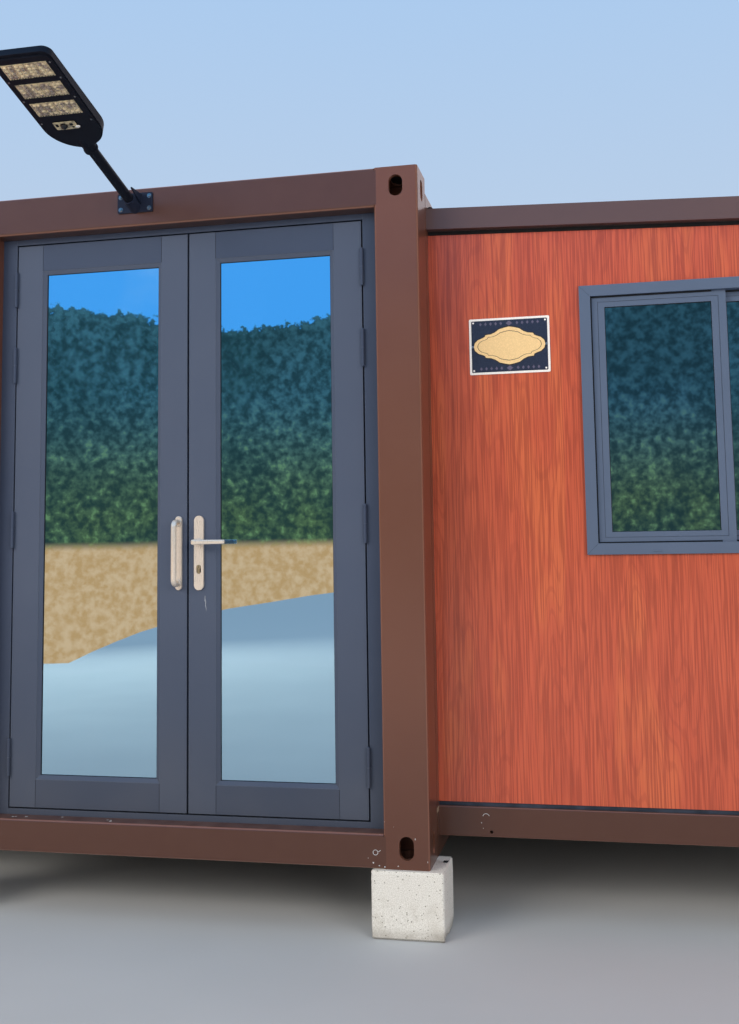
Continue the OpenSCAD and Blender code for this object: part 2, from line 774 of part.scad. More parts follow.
module floor_side_beams() color(frame_colour) on_site() both_sides()
    translate([wing_x - wing_beam_w, beam_y + wing_beam_w, floor_z - wing_beam_h])
        along_y(core_l - 2 * (beam_y + wing_beam_w))
            round_rect(wing_beam_w, wing_beam_h, bend_r / 2);

module wall_tracks() color("#2c3340") on_site() both_sides() {
    both_ends() translate([core_half_w, wing_y + track_in, floor_z])
        cube([wing_w - wall_t - cut, wall_t - track_in, track_h]);
    translate([inner_x, ends_y[0] + track_in, floor_z])
        cube([wall_t - track_in, ends_y[1] - ends_y[0] - 2 * track_in, track_h]);
}

module corner_trims() color(frame_colour) on_site() four_corners()
    translate([wing_x, wing_y, wall_z]) linear_extrude(roof_low(wing_x + trim_t) - wall_z) {
        translate([-trim_w, -trim_t]) square([trim_w + trim_t, trim_t]);
        translate([0, -trim_t]) square([trim_t, trim_w + trim_t]);
    }

// Windows, drawn with the outside face of the wall at y = 0

module ring(w, h, face_w, face_h, t) difference() {
    translate([-w / 2, 0, -h / 2]) cube([w, t, h]);
    translate([-w / 2 + face_w, -cut, -h / 2 + face_h])
        cube([w - 2 * face_w, t + 2 * cut, h - 2 * face_h]);
}

module window_frame() {
    translate([0, -window_flange, 0])
        ring(window_w, window_h, window_face, window_face, window_flange);
    ring(body_w, body_h, window_face - window_lap, window_face - window_lap, wall_t + 3);
}

// The outer sash is on the left and the inner one on the right, in two tracks
module at_sashes() {
    translate([-(clear_w - sash_w) / 2, 4, 0]) children();
    translate([(clear_w - sash_w) / 2, sash_t + 8, 0]) children();
}

module window_frames() color(window_colour) on_site() at_windows() window_frame();
module window_sashes() color(window_colour) on_site() at_windows() at_sashes()
    ring(sash_w, clear_h, sash_stile, sash_rail, sash_t);
module window_glass() color("#48606b") on_site() at_windows() at_sashes()
    translate([-sash_w / 2 + sash_stile, (sash_t - glass_t) / 2, -clear_h / 2 + sash_rail])
        cube([sash_w - 2 * sash_stile, glass_t, clear_h - 2 * sash_rail]);

module sign_plate() color("#2b3550") on_site()
    translate([core_half_w + sign_in, wing_y, sign_z]) rotate([90, 0, 0])
        linear_extrude(sign_t) translate([-sign_w / 2, -sign_h / 2]) round_rect(sign_w, sign_h, 5);

// Lamp, drawn along its arm with -y outwards and its underside facing down

module at_lamp() translate([-lamp_x, 0, lamp_z]) rotate([-lamp_tilt, 0, 0]) children();

// Place of the arm's foot along its line, where its lower edge meets the plate's face
arm_start = (bracket_t + arm_r * sin(lamp_tilt)) / cos(lamp_tilt) + 2;

// Cheek beside the arm, from the plate to a blunt tip, drawn down from its top edge
module cheek() along_x(cheek_t)
    polygon([[0, -cheek_h], [0, 0], [-cheek_out, 0], [-cheek_out, -cheek_h / 8]]);

module lamp_bracket() color("#22252a") on_site() {
    translate([-lamp_x, 0, core_h - bracket_drop]) rotate([90, 0, 0])
        linear_extrude(bracket_t) difference() {
            translate([-bracket_w / 2, -bracket_h / 2]) round_rect(bracket_w, bracket_h, 5);
            for (x = [-1, 1], y = [-1, 1])
                translate([x * bracket_bolts_w / 2, y * bracket_bolts_h / 2])
                    circle(bracket_hole_r);
        }
    intersection() {
        at_lamp() rotate([90, 0, 0]) difference() {
            translate([0, 0, -arm_r])
                cylinder(r = arm_r + socket_wall, h = arm_r + arm_start + socket_l);
            translate([0, 0, arm_start]) cylinder(r = arm_r, h = socket_l + cut);
        }
        translate([-lamp_x - bracket_w / 2, -2 * bracket_w, door_top])
            cube([bracket_w, 2 * bracket_w, 2 * header_h]);
    }
    for (x = [-arm_r - cut - cheek_t, arm_r + cut])
        translate([x - lamp_x, 0, core_h - bracket_drop + bracket_h / 2 - bend_r / 2]) cheek();
}

module lamp_arm() color("#22252a") on_site() at_lamp()
    translate([0, -arm_start, 0]) rotate([90, 0, 0])
        cylinder(r = arm_r, h = arm_l + collar_l - arm_start);

// Outline of the head from the arm's end on, with its sides and far end drawn in
module head_outline(in, far) {
    w = head_w - 2 * in;
    l = head_l - far;
    shoulder_y = sqrt(pow(shoulder_r, 2) - pow(shoulder_r - head_w / 2, 2));
    intersection() {
        translate([head_w / 2 - shoulder_r, shoulder_y]) circle(shoulder_r - in, $fn = 96);
        translate([shoulder_r - head_w / 2, shoulder_y]) circle(shoulder_r - in, $fn = 96);
        translate([-w / 2, 0]) square([w, shoulder_y]);
    }
    translate([-w / 2, shoulder_y]) square([w, l - shoulder_y - head_corner_r]);
    translate([head_corner_r - w / 2, shoulder_y]) square([w - 2 * head_corner_r, l - shoulder_y]);
    for (x = [-1, 1]) translate([x * (w / 2 - head_corner_r), l - head_corner_r])
        circle(head_corner_r);
}

// Places its child at the arm's end on the head's underside
module at_head() at_lamp() translate([0, -arm_l, -head_drop]) children();

module led_seats(z0, h) for (i = [0 : 2])
    translate([-led_w / 2, -led_first - i * led_pitch - led_l / 2, z0]) cube([led_w, led_l, h]);

module lamp_housing() color("#22252a") on_site() at_head() difference() {
    union() {
        intersection() {
            mirror([0, 1, 0]) linear_extrude(head_near_t) head_outline(0, 0);
            translate([-head_w, 0, 0]) along_x(2 * head_w)
                polygon([[0, cover_t], [-head_l, cover_t], [-head_l, head_far_t], [0, head_near_t]]);
        }
        mirror([0, 1, 0]) linear_extrude(cover_t + cut) head_outline(cover_in, cover_far);
        translate([0, collar_l, head_drop]) rotate([90, 0, 0]) {
            cylinder(r = collar_r, h = 2 * collar_l);
            cylinder(r = collar_r + 3, h = 8);
        }
        translate([0, -collar_l, head_drop]) sphere(r = collar_r);
    }
    translate([0, collar_l + cut, head_drop]) rotate([90, 0, 0])
        cylinder(r = arm_r, h = 2 * collar_l + cut);
    led_seats(-cut, cover_t + cut);
}

module lamp_panels() color("#e8ddb8") on_site() at_head() led_seats(0, cover_t);

module lamp_sensor() color("#15171a") on_site() at_head()
    translate([-sensor_left, -sensor_at, 0]) difference() {
        union() {
            translate([-sensor_w / 2, -sensor_l / 2, -sensor_t]) cube([sensor_w, sensor_l, sensor_t]);
            translate([0, 0, -sensor_t]) sphere(r = dome_r);
        }
        translate([-dome_r, -dome_r, 0]) cube(2 * dome_r);
    }

module lamp_solar() color("#1b2a44") on_site() at_head()
    translate([0, 0, head_near_t]) rotate([head_slope, 0, 0])
        translate([solar_in - head_w / 2, solar_in - head_l, 0])
            cube([head_w - 2 * solar_in, solar_l, solar_t]);

// Supports

module corner_block() translate([block_x, block_in, -block_h]) difference() {
    translate([-block_w / 2, 0, 0]) linear_extrude(block_h) round_rect(block_w, block_l, block_r);
    translate([block_w / 2 - block_hole_in, block_hole_y, block_h])
        cube([block_hole_w, block_hole_l, 2 * block_hole_d], center = true);
}

module corner_blocks() color("#cfc9bd") on_site() {
    both_ends() corner_block();
    mirror([1, 0, 0]) {
        translate([left_block_out, 0, 0]) corner_block();
        translate([0, core_l, 0]) mirror([0, 1, 0]) corner_block();
    }
}

foot_y = [beam_y + foot_w / 2, core_l / 2, core_l - beam_y - foot_w / 2];

module wing_feet() color("#8c8f92") on_site() both_sides() for (y = foot_y)
    translate([wing_x - foot_w / 2, y, -block_h]) {
        translate([-foot_w / 2, -foot_w / 2, 0]) cube([foot_w, foot_w, foot_t]);
        cylinder(r = screw_r, h = foot_h - foot_t);
        translate([0, 0, foot_t]) cylinder(r = 2 * screw_r, h = 60);
        translate([0, 0, foot_h - 60]) cylinder(d = 44, h = 20, $fn = 6);
        translate([-foot_w / 2, -foot_w / 2, foot_h - foot_t]) cube([foot_w, foot_w, foot_t]);
    }

corner_posts();
top_fittings();
bottom_fittings();
header_beams();
sill_beams();
top_side_rails();
bottom_side_rails();
side_jambs();
core_roof();
core_floor();
floor_joists();
core_back_wall();
door_jambs();
door_head();
door_threshold();
frame_hinges();
right_leaf_stiles();
right_leaf_rails();
right_leaf_beads();
right_leaf_glass();
right_leaf_hinges();
lever_plates();
lock_cylinder();
door_lever();
left_leaf_stiles();
left_leaf_rails();
left_leaf_beads();
left_leaf_glass();
left_leaf_hinges();
pull_handle();
wing_roofs();
end_fascias();
eave_beams();
right_end_walls();
left_end_walls();
right_side_wall();
left_side_wall();
wing_floors();
floor_end_beams();
floor_side_beams();
wall_tracks();
corner_trims();
window_frames();
window_sashes();
window_glass();
sign_plate();
lamp_bracket();
lamp_arm();
lamp_housing();
lamp_panels();
lamp_sensor();
lamp_solar();
corner_blocks();
wing_feet();
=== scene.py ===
import math
import random
from functools import partial
from itertools import product

import bmesh
import bpy
from mathutils import Matrix, Vector, noise


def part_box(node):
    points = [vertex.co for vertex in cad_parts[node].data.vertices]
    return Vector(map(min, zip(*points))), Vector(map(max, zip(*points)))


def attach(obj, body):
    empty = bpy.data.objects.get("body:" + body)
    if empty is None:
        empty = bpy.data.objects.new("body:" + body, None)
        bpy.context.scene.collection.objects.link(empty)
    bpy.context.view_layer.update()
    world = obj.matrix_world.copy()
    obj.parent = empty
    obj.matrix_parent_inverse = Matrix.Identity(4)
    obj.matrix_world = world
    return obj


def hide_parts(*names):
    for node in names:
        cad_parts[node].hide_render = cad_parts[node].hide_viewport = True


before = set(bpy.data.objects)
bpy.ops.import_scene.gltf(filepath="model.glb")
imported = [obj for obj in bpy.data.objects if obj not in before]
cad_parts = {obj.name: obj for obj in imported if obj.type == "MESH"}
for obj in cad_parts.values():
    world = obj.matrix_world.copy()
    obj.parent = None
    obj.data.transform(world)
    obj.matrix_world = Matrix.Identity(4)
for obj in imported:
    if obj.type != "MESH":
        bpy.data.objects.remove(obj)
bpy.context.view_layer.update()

# The cabin's own places: the faces of the corner posts, their undersides and the sills' ends
FRONT, REAR = (corner.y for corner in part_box("corner_posts"))
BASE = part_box("bottom_fittings")[0].z
MIDDLE = (FRONT + REAR) / 2
SILL_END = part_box("sill_beams")[1].x

# Camera fitted to the photograph: metres from the cabin's front and base, degrees, pixels
CAMERA_AT = (1.557, -3.818, 1.115)
CAMERA_TURN = 12.02
CAMERA_TILT = 5.615
CAMERA_ROLL = -0.847
FOCAL_PX = 1098.4
AXIS_PX = (372.25, 435.11)
PHOTO_PX = (739, 1024)
SENSOR_MM = 36

# Directions round a turned piece
TURNS = [math.tau * i / 24 for i in range(24)]

random.seed(7)


# Shared helpers


def colour(code):
    """An sRGB hex code as linear colour."""
    parts = [int(code[i : i + 2], 16) / 255 for i in (1, 3, 5)]
    return [p / 12.92 if p <= 0.04045 else ((p + 0.055) / 1.055) ** 2.4 for p in parts] + [1]


def per(mm):
    """The scale of a pattern on Object coordinates whose features are mm millimetres apart."""
    return 1000 / mm


# The nodes used most: their kind, their inputs in the order given, and their settings
NODES = {
    "noise": ("ShaderNodeTexNoise", ("Vector", "Scale", "Detail", "Roughness"), {}),
    "scaled": ("ShaderNodeMapping", ("Vector", "Scale"), {}),
    "ease": ("ShaderNodeMapRange", ("Value", "From Min", "From Max", "To Min", "To Max"),
             {"interpolation_type": "SMOOTHSTEP"}),
    "mix": ("ShaderNodeMix", ("Factor", "A", "B"), {"data_type": "RGBA"}),
    "bump": ("ShaderNodeBump", ("Height", "Strength", "Distance", "Normal"), {}),
    "bevel": ("ShaderNodeBevel", ("Radius",), {"samples": 4}),
    "height": ("ShaderNodeSeparateXYZ", ("Vector",), {"out": "Z"}),
    "dot": ("ShaderNodeVectorMath", (0, 1), {"operation": "DOT_PRODUCT", "out": "Value"}),
    "plus": ("ShaderNodeMath", (0, 1), {"operation": "ADD"}),
    "minus": ("ShaderNodeMath", (0, 1), {"operation": "SUBTRACT"}),
    "times": ("ShaderNodeMath", (0, 1), {"operation": "MULTIPLY"}),
    "sine": ("ShaderNodeMath", (0, 1), {"operation": "SINE"}),
    "above": ("ShaderNodeMath", (0, 1), {"operation": "GREATER_THAN"}),
}


def add(tree, kind, *values, stops=(), **settings):
    """Adds a node with its settings, values and links, and gives back one of its outputs. The
    values come in the order that NODES gives or in a dictionary, colours as hex codes."""
    kind, order, usual = NODES.get(kind, (kind, (), {}))
    inputs = values[0] if values and isinstance(values[0], dict) else dict(zip(order, values))
    settings = {**usual, **settings}
    out = settings.pop("out", None)
    made = tree.nodes.new(kind)
    for name, value in settings.items():
        setattr(made, name, value)
    for key, value in inputs.items():
        if isinstance(key, int):
            socket = made.inputs[key]
        else:
            socket = next(s for s in made.inputs if s.enabled and s.name == key)
        if isinstance(value, bpy.types.NodeSocket):
            tree.links.new(value, socket)
        else:
            code = isinstance(value, str) and value.startswith("#")
            socket.default_value = colour(value) if code else value
    for i, (where, code) in enumerate(stops):
        elements = made.color_ramp.elements
        stop = elements[i] if i < 2 else elements.new(where)
        stop.position = where
        stop.color = colour(code)
    live = [s for s in made.outputs if s.enabled]
    return made.outputs[out] if out else (live[0] if live else made)


def material(name, finish, *values, **more):
    """A material. Its finish gets a way to add nodes and the piece's own coordinates, and gives
    back the shader's inputs."""
    made = bpy.data.materials.new(name)
    made.use_nodes = True
    tree = made.node_tree
    tree.nodes.clear()
    place = add(tree, "ShaderNodeTexCoord", out="Object")
    sockets = finish(partial(add, tree), place, *values, **more)
    surface = add(tree, "ShaderNodeBsdfPrincipled", sockets, out="BSDF")
    add(tree, "ShaderNodeOutputMaterial", {"Surface": surface})
    return made


# Materials


def brown_enamel(node, place, dark, light):
    """Alkyd enamel, sprayed on folded steel: satin brown with a fine orange peel, paler along its
    folds partly by wear and partly as a painted highlight, dusty on its ledges and darker toward
    the foot."""
    normal = place.node.outputs["Normal"]
    ways = node("ShaderNodeVectorMath", {0: normal}, operation="ABSOLUTE")
    # The pale colour along the folds is partly wear and partly a painted highlight on the rounded
    # edges
    worn = node("ease", node("dot", ways, (1, 1, 1)), 1.28, 1.4, 0.0, 0.32)
    cloud = node("noise", place, per(500), 3.0)
    foot = node("ease", node("height", place), BASE + 0.7, BASE, 0.0, 0.6)
    ledge = node("ease", node("height", normal), 0.6, 1.0, 0.04, 0.5)
    grime = node("ease", node("noise", place, per(60), 5.0), 0.1, 0.9)
    base = node("mix", cloud, dark, light)
    base = node("mix", foot, base, "#4f2f22")
    base = node("mix", node("times", ledge, grime), base, "#806357")
    base = node("mix", worn, base, "#a87662")
    gloss = node("ease", cloud, 0.3, 0.7, 0.34, 0.42)
    return {"Base Color": base, "Roughness": node("plus", gloss, node("times", ledge, 0.25)),
            "Normal": node("bump", node("noise", place, per(2.5), 2.0), 0.06, 0.0006),
            "Specular IOR Level": 0.4, "Coat Weight": 0.5, "Coat Roughness": 0.22}


def cherry_film(node, place):
    """PVC film, printed and laminated on steel skin: upright pores over red-brown grain, with
    orange flames some 160 mm wide and the long arches of flat-sawn boards, under a satin
    lacquer. Inside faces are plain white. Real pores are a few tenths of a millimetre wide,
    too fine to show in the render, so they are drawn 4.6 mm apart."""
    pores = node("noise", node("scaled", place, (1, 1, 0.02)), per(4.6), 1.0)
    streaks = node("noise", node("scaled", place, (1, 1, 0.03)), per(9), 4.0)
    figure = node("noise", node("scaled", place, (1, 1, 0.11)), per(105), 1.5, 0.35)
    knots = node("noise", node("scaled", place, (1, 1, 0.45)), per(120), 3.0)
    rings = node("plus", node("times", figure, 16.0), node("times", streaks, 0.35))
    arches = node("sine", node("times", rings, math.tau))
    flame = node("times", node("ease", figure, 0.53, 0.67), node("ease", knots, 0.3, 0.6))
    base = node("mix", node("ease", streaks, 0.3, 0.7), "#c65b3c", "#bd5337")
    base = node("mix", node("ease", knots, 0.5, 0.72, 0.0, 0.35), base, "#a6462f")
    base = node("mix", node("times", flame, 0.6), base, "#d26c40")
    base = node("mix", node("ease", arches, 0.5, 0.98, 0.0, 0.25), base, "#933a27")
    base = node("mix", node("ease", pores, 0.44, 0.6, 0.0, 0.55), base, "#8e3823")
    away = node("ShaderNodeVectorMath", {0: place, 1: (0, MIDDLE, BASE + 1.2)},
                operation="SUBTRACT")
    outside = node("above", node("dot", away, place.node.outputs["Normal"]), 0.0)
    return {"Base Color": node("mix", outside, "#e2e0da", base),
            "Roughness": node("ease", streaks, 0.3, 0.7, 0.32, 0.42),
            "Normal": node("bump", pores, 0.05, 0.0004),
            "Specular IOR Level": 0.4, "Coat Weight": 0.6, "Coat Roughness": 0.2}


def powder_coat(node, place, dark, light, cloud_mm, edge_r, edge, wear, grit_mm, relief, rough,
                specular, dusty=False):
    """Powder coat, baked on aluminium: a fine leather texture over soft blotches, worn paler
    along its edges. A dusty one is darker near the sill, under a veil of dust."""
    soft = node("bevel", edge_r)
    likeness = node("dot", soft, node("ShaderNodeNewGeometry", out="Normal"))
    cloud = node("noise", place, per(cloud_mm), 3.0)
    base = node("mix", cloud, dark, light)
    if dusty:
        height = node("height", place)
        veil = node("ease", height, BASE + 0.6, BASE + 0.1, 0.0, 0.14)
        base = node("mix", node("ease", height, BASE + 1.1, BASE + 0.1, 0.0, 0.45), base,
                    "#333a49")
        base = node("mix", node("times", veil, cloud), base, "#8b857c")
    base = node("mix", node("ease", likeness, 0.99, 0.86, 0.0, wear), base, edge)
    grit = node("noise", place, per(grit_mm), 2.0)
    return {"Base Color": base, "Roughness": rough, "Specular IOR Level": specular,
            "Normal": node("bump", grit, relief, 0.0003, soft)}


def mirror_pane(node, place, tint, body):
    """Float glass with a metal-oxide mirror coat: a tinted mirror outside, with a little of
    the dark room showing through. A faint waviness bends what it mirrors."""
    wave = node("noise", place, per(700), 1.0)
    return {"Base Color": tint, "Metallic": body, "Roughness": 0.01, "Transmission Weight": 1.0,
            "IOR": 1.52, "Normal": node("bump", wave, 0.25, 0.002)}


def white_coil(node, place):
    """Polyester coil coat on roof and lining sheet: off-white, streaked by rain and dusty."""
    streak = node("noise", node("scaled", place, (0.12, 1, 1)), per(70), 4.0)
    patch = node("noise", place, per(600), 4.0)
    dirt = node("times", node("ease", streak, 0.4, 0.75), node("ease", patch, 0.35, 0.7))
    return {"Base Color": node("mix", node("times", dirt, 0.45), "#e6e5e0", "#b3aa9a"),
            "Roughness": node("ease", patch, 0.3, 0.7, 0.35, 0.5), "Normal": node("bevel", 0.003)}


def floor_vinyl(node, place):
    """Vinyl plank flooring: grey-brown oak print in planks 150 mm wide, laid along the cabin."""
    along = node("ShaderNodeMapping", {"Vector": place, "Rotation": (0, 0, math.pi / 2)})
    planks = node("ShaderNodeTexBrick",
                  {"Vector": along, "Color1": "#8f7c68", "Color2": "#a5927c",
                   "Mortar": "#4c4238", "Scale": 1.0, "Mortar Size": 0.0012, "Brick Width": 1.2,
                   "Row Height": 0.15}, out="Color")
    grain = node("noise", node("scaled", place, (1, 0.05, 1)), per(5), 4.0)
    return {"Base Color": node("mix", node("ease", grain, 0.4, 0.7, 0.0, 0.35), planks,
                               "#6d5c4b"), "Roughness": 0.45}


def satin_alloy(node, place):
    """Zinc alloy handles, die-cast and satin-plated in champagne: soft brushed gloss. Real
    brush lines are finer than 0.3 mm, too fine to show, so they are drawn 0.9 mm apart."""
    brush = node("noise", node("scaled", place, (1, 1, 0.03)), per(0.9), 2.0)
    return {"Base Color": "#ecdfd0", "Metallic": 0.5, "Normal": node("bump", brush, 0.05, 0.0002),
            "Roughness": node("ease", brush, 0.3, 0.7, 0.26, 0.4)}


def nickel_brass(node, place):
    """Brass key cylinder, machined and nickel-plated: warm grey metal with turning marks. Real
    marks are about 0.2 mm apart, too fine to show, so they are drawn 1.2 mm apart."""
    marks = node("noise", place, per(1.2), 3.0)
    return {"Base Color": "#c9b48d", "Metallic": 1.0,
            "Roughness": node("ease", marks, 0.3, 0.7, 0.28, 0.42)}


def zinc_plate(node, place):
    """Zinc-plated steel, passivated: grey with a faint spangle."""
    spangle = node("ShaderNodeTexVoronoi", {"Vector": place, "Scale": per(9)}, out="Color")
    grey = node("ShaderNodeRGBToBW", {"Color": spangle})
    return {"Base Color": node("mix", grey, "#8f9397", "#b4b7b9"), "Metallic": 1.0,
            "Roughness": node("ease", grey, 0.0, 1.0, 0.34, 0.5)}


def solar_cells(node, place):
    """Silicon cells under tempered glass: blue-black squares 26 mm wide with silver lines."""
    grid = node("ShaderNodeTexBrick",
                {"Vector": place, "Color1": "#141c33", "Color2": "#1a2440", "Mortar": "#9aa2ab",
                 "Scale": 1.0, "Mortar Size": 0.0005, "Brick Width": 0.026,
                 "Row Height": 0.026}, out="Color", offset=0.0)
    return {"Base Color": grid, "Roughness": 0.1, "Coat Weight": 1.0, "Coat Roughness": 0.03}


def cast_concrete(node, place, dark, light):
    """Concrete, cast in a steel mould: grey with sand grain, air holes and damp marks."""
    sand = node("noise", place, per(3), 6.0)
    damp = node("noise", place, per(110), 5.0)
    holes = node("ShaderNodeTexVoronoi", {"Vector": place, "Scale": per(11)}, out="Distance")
    gaps = node("noise", place, per(20), 1.0)
    pits = node("times", node("ease", holes, 0.24, 0.14), node("ease", gaps, 0.46, 0.6))
    wet = node("times", node("ease", node("height", place), 0.05, 0.005), damp)
    base = node("mix", node("ease", sand, 0.3, 0.7), dark, light)
    base = node("mix", node("ease", damp, 0.52, 0.72, 0.0, 0.5), base, "#b3ada2")
    base = node("mix", wet, base, "#8f8980")
    base = node("mix", pits, base, "#7d796f")
    relief = node("minus", sand, node("times", pits, 1.5))
    return {"Base Color": base, "Roughness": 0.9, "Normal": node("bump", relief, 0.5, 0.0015)}


def two_tones(node, place, first, second, mm, detail, span, shader):
    """A plain finish: a second tone in blotches over the first."""
    mask = node("noise", place, per(mm), detail)
    if span:
        mask = node("ease", mask, *span)
    return {"Base Color": node("mix", mask, first, second), **shader}


def sign_ink(node, place, ink, rough):
    """Screen ink, baked on a tin plate: flat colour with a fine speckle under a gloss coat."""
    light = [min(1, c * 1.14 + 0.01) for c in colour(ink)[:3]] + [1]
    return two_tones(node, place, ink, light, 4, 4.0, (0.35, 0.75),
                     {"Roughness": rough, "Coat Weight": 0.3, "Coat Roughness": 0.15})


BROWN = material("alkyd_enamel_brown_sprayed", brown_enamel, "#613a2c", "#6d4433")
BEAM_BROWN = material("alkyd_enamel_dark_brown_sprayed", brown_enamel, "#492b1d", "#533327")
# Fascias and eave beams: the same brown with a violet-grey tone, a painted reflection of the sky
CHALKED_BROWN = material("alkyd_enamel_brown_chalked", brown_enamel, "#56413e", "#624a47")
CHERRY = material("pvc_film_cherry_laminated", cherry_film)
# Polyester powder on door profiles: slate grey and matt
SLATE_COAT = dict(cloud_mm=350, edge_r=0.0015, edge="#7d8796", wear=0.5, grit_mm=1.6,
                  relief=0.12, rough=0.46, specular=0.4, dusty=True)
SLATE = material("polyester_powder_slate_baked", powder_coat, "#465065", "#4f586b", **SLATE_COAT)
# Darker slate for rails, jambs, head, threshold and hinges: partly their own tone, partly painted
# shade from the header
DARK_SLATE = material("polyester_powder_dark_slate_baked", powder_coat, "#3a4459", "#434d62",
                      **SLATE_COAT)
# Polyester powder on window profiles: blue-grey and satin
BLUE_GREY = material("polyester_powder_blue_grey_baked", powder_coat, "#515f76", "#5a6880",
                     cloud_mm=260, edge_r=0.0012, edge="#8d99ae", wear=0.45, grit_mm=1.6,
                     relief=0.08, rough=0.42, specular=0.5)
# Powder coat on the track under the walls: near-black slate, with dust in blotches
TRACK = material("polyester_powder_dark_track", two_tones, "#262c37", "#3a4150", 60, 4.0,
                 (0.35, 0.75), {"Roughness": 0.5})
DOOR_MIRROR = material("float_glass_blue_mirror_coated", mirror_pane, "#b3d4e6", 0.97)
WINDOW_MIRROR = material("float_glass_grey_mirror_coated", mirror_pane, "#acc9e4", 0.93)
WHITE = material("polyester_coil_coat_white", white_coil)
PLANKS = material("vinyl_plank_oak_printed", floor_vinyl)
CHAMPAGNE = material("zinc_alloy_champagne_satin", satin_alloy)
BRASS = material("brass_nickel_plated_machined", nickel_brass)
ZINC = material("steel_zinc_plated", zinc_plate)
# Aluminium lamp castings, powder coated: blue-black and matt
BLACK_COAT = dict(cloud_mm=80, edge_r=0.0012, edge="#3f4758", wear=0.35, grit_mm=1.5,
                  relief=0.15, rough=0.55, specular=0.18)
CASTING = material("aluminium_casting_black_powder", powder_coat, "#0d0f18", "#151925",
                   **BLACK_COAT)
BRACKET_BLACK = material("aluminium_bracket_black_powder", powder_coat, "#1c2130", "#272d3f",
                         **BLACK_COAT)
# Circuit board behind the lenses: cream solder mask, with darker pads and resin marks
BOARD = material("circuit_board_cream_mask", two_tones, "#d9c7a0", "#8f8672", 14, 3.0,
                 (0.42, 0.66), {"Roughness": 0.4})
# Acrylic lamp lenses, moulded: clear domes over amber chips
LENS = material("acrylic_lens_moulded", two_tones, "#e8d3aa", "#94857a", 26, 3.0, (0.42, 0.62),
                {"Roughness": 0.16, "IOR": 1.49, "Coat Weight": 0.6, "Coat Roughness": 0.05})
# Acrylic sensor dome, moulded and tinted: near black and glossy
DOME = material("acrylic_dark_moulded", two_tones, "#0c0d10", "#16181c", 12, 1.0, None,
                {"Roughness": 0.14, "IOR": 1.49})
CELLS = material("silicon_cells_glazed", solar_cells)
# EPDM gasket, extruded: dull black with a faint bloom
RUBBER = material("epdm_rubber_extruded", two_tones, "#0f1012", "#1c1d20", 30, 3.0, (0.4, 0.8),
                  {"Roughness": 0.7})
CONCRETE = material("concrete_cast_pale", cast_concrete, "#c9c7c0", "#efeeea")
# Near-black concrete for the insides of the lifting holes: painted shade in the deep holes
DAMP_CONCRETE = material("concrete_cast_damp", cast_concrete, "#191715", "#262320")
SIGN_RIM = material("baked_ink_white", sign_ink, "#e9e6e4", 0.3)
SIGN_FIELD = material("baked_ink_navy", sign_ink, "#23283c", 0.3)
SIGN_CREAM = material("baked_ink_cream", sign_ink, "#e6c58f", 0.35)
SIGN_LINE = material("baked_ink_dark_brown", sign_ink, "#2c2420", 0.35)
SIGN_FAINT = material("baked_ink_mauve", sign_ink, "#5d566c", 0.35)
# Primer and bare metal where the paint is scraped off: pale and dull
SCRATCH = material("primer_bare_scratch", two_tones, "#a9adb3", "#d9dbdd", 3, 4.0, None,
                   {"Roughness": 0.6})

# The finish of each kind of CAD node
FINISHES = {
    BROWN: ["corner_posts", "top_fittings", "bottom_fittings", "side_jambs", "top_side_rails",
            "corner_trims"],
    CHALKED_BROWN: ["end_fascias", "eave_beams"],
    BEAM_BROWN: ["header_beams", "sill_beams", "bottom_side_rails",
                 "floor_joists", "floor_end_beams", "floor_side_beams"],
    CHERRY: ["core_back_wall", "right_end_walls", "left_end_walls", "right_side_wall",
             "left_side_wall"],
    SLATE: ["right_leaf_stiles", "left_leaf_stiles", "right_leaf_beads", "left_leaf_beads"],
    DARK_SLATE: ["door_jambs", "door_head", "door_threshold", "right_leaf_rails",
                 "left_leaf_rails", "frame_hinges", "right_leaf_hinges", "left_leaf_hinges"],
    BLUE_GREY: ["window_frames", "window_sashes"],
    TRACK: ["wall_tracks"],
    DOOR_MIRROR: ["right_leaf_glass", "left_leaf_glass"],
    WINDOW_MIRROR: ["window_glass"],
    WHITE: ["core_roof", "wing_roofs"],
    PLANKS: ["core_floor", "wing_floors"],
    CHAMPAGNE: ["lever_plates", "pull_handle", "door_lever"],
    BRASS: ["lock_cylinder"],
    ZINC: ["wing_feet"],
    CASTING: ["lamp_arm", "lamp_housing", "lamp_sensor"],
    BRACKET_BLACK: ["lamp_bracket"],
    BOARD: ["lamp_panels"],
    CELLS: ["lamp_solar"],
    CONCRETE: ["corner_blocks"],
    SIGN_RIM: ["sign_plate"],
}


def finish_nodes():
    for finish, names in FINISHES.items():
        for name in names:
            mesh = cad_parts[name].data
            mesh.materials.clear()
            mesh.materials.append(finish)


# Meshes


def at(x, y, z):
    """A place given in millimetres from the middle, the posts' faces and their undersides."""
    return Vector((x / 1000, FRONT + y / 1000, BASE + z / 1000))


def block(bm, lo, hi, slot=0):
    """A box between two corners."""
    corners = [bm.verts.new(corner) for corner in product(*map(sorted, zip(lo, hi)))]
    for face in ((0, 1, 3, 2), (4, 6, 7, 5), (0, 4, 5, 1), (2, 3, 7, 6), (0, 2, 6, 4),
                 (1, 5, 7, 3)):
        bm.faces.new([corners[i] for i in face]).material_index = slot


def skin(bm, rows, slot):
    """Faces between rows of as many points each, closed round."""
    count = len(rows[0])
    for near, far in zip(rows, rows[1:]):
        for i in range(count):
            j = (i + 1) % count
            bm.faces.new((near[i], near[j], far[j], far[i])).material_index = slot


def loft(bm, rings, slot=0):
    """A closed solid through rings of as many points each."""
    rows = [[bm.verts.new(point) for point in ring] for ring in rings]
    for cap in (rows[0][::-1], rows[-1]):
        bm.faces.new(cap).material_index = slot
    skin(bm, rows, slot)


def turned(bm, section, put, slot=0):
    """A closed ring turned from a section of radius and height points."""
    rows = [[bm.verts.new(put(r * math.cos(a), r * math.sin(a), w)) for a in TURNS]
            for r, w in section]
    skin(bm, rows + rows[:1], slot)


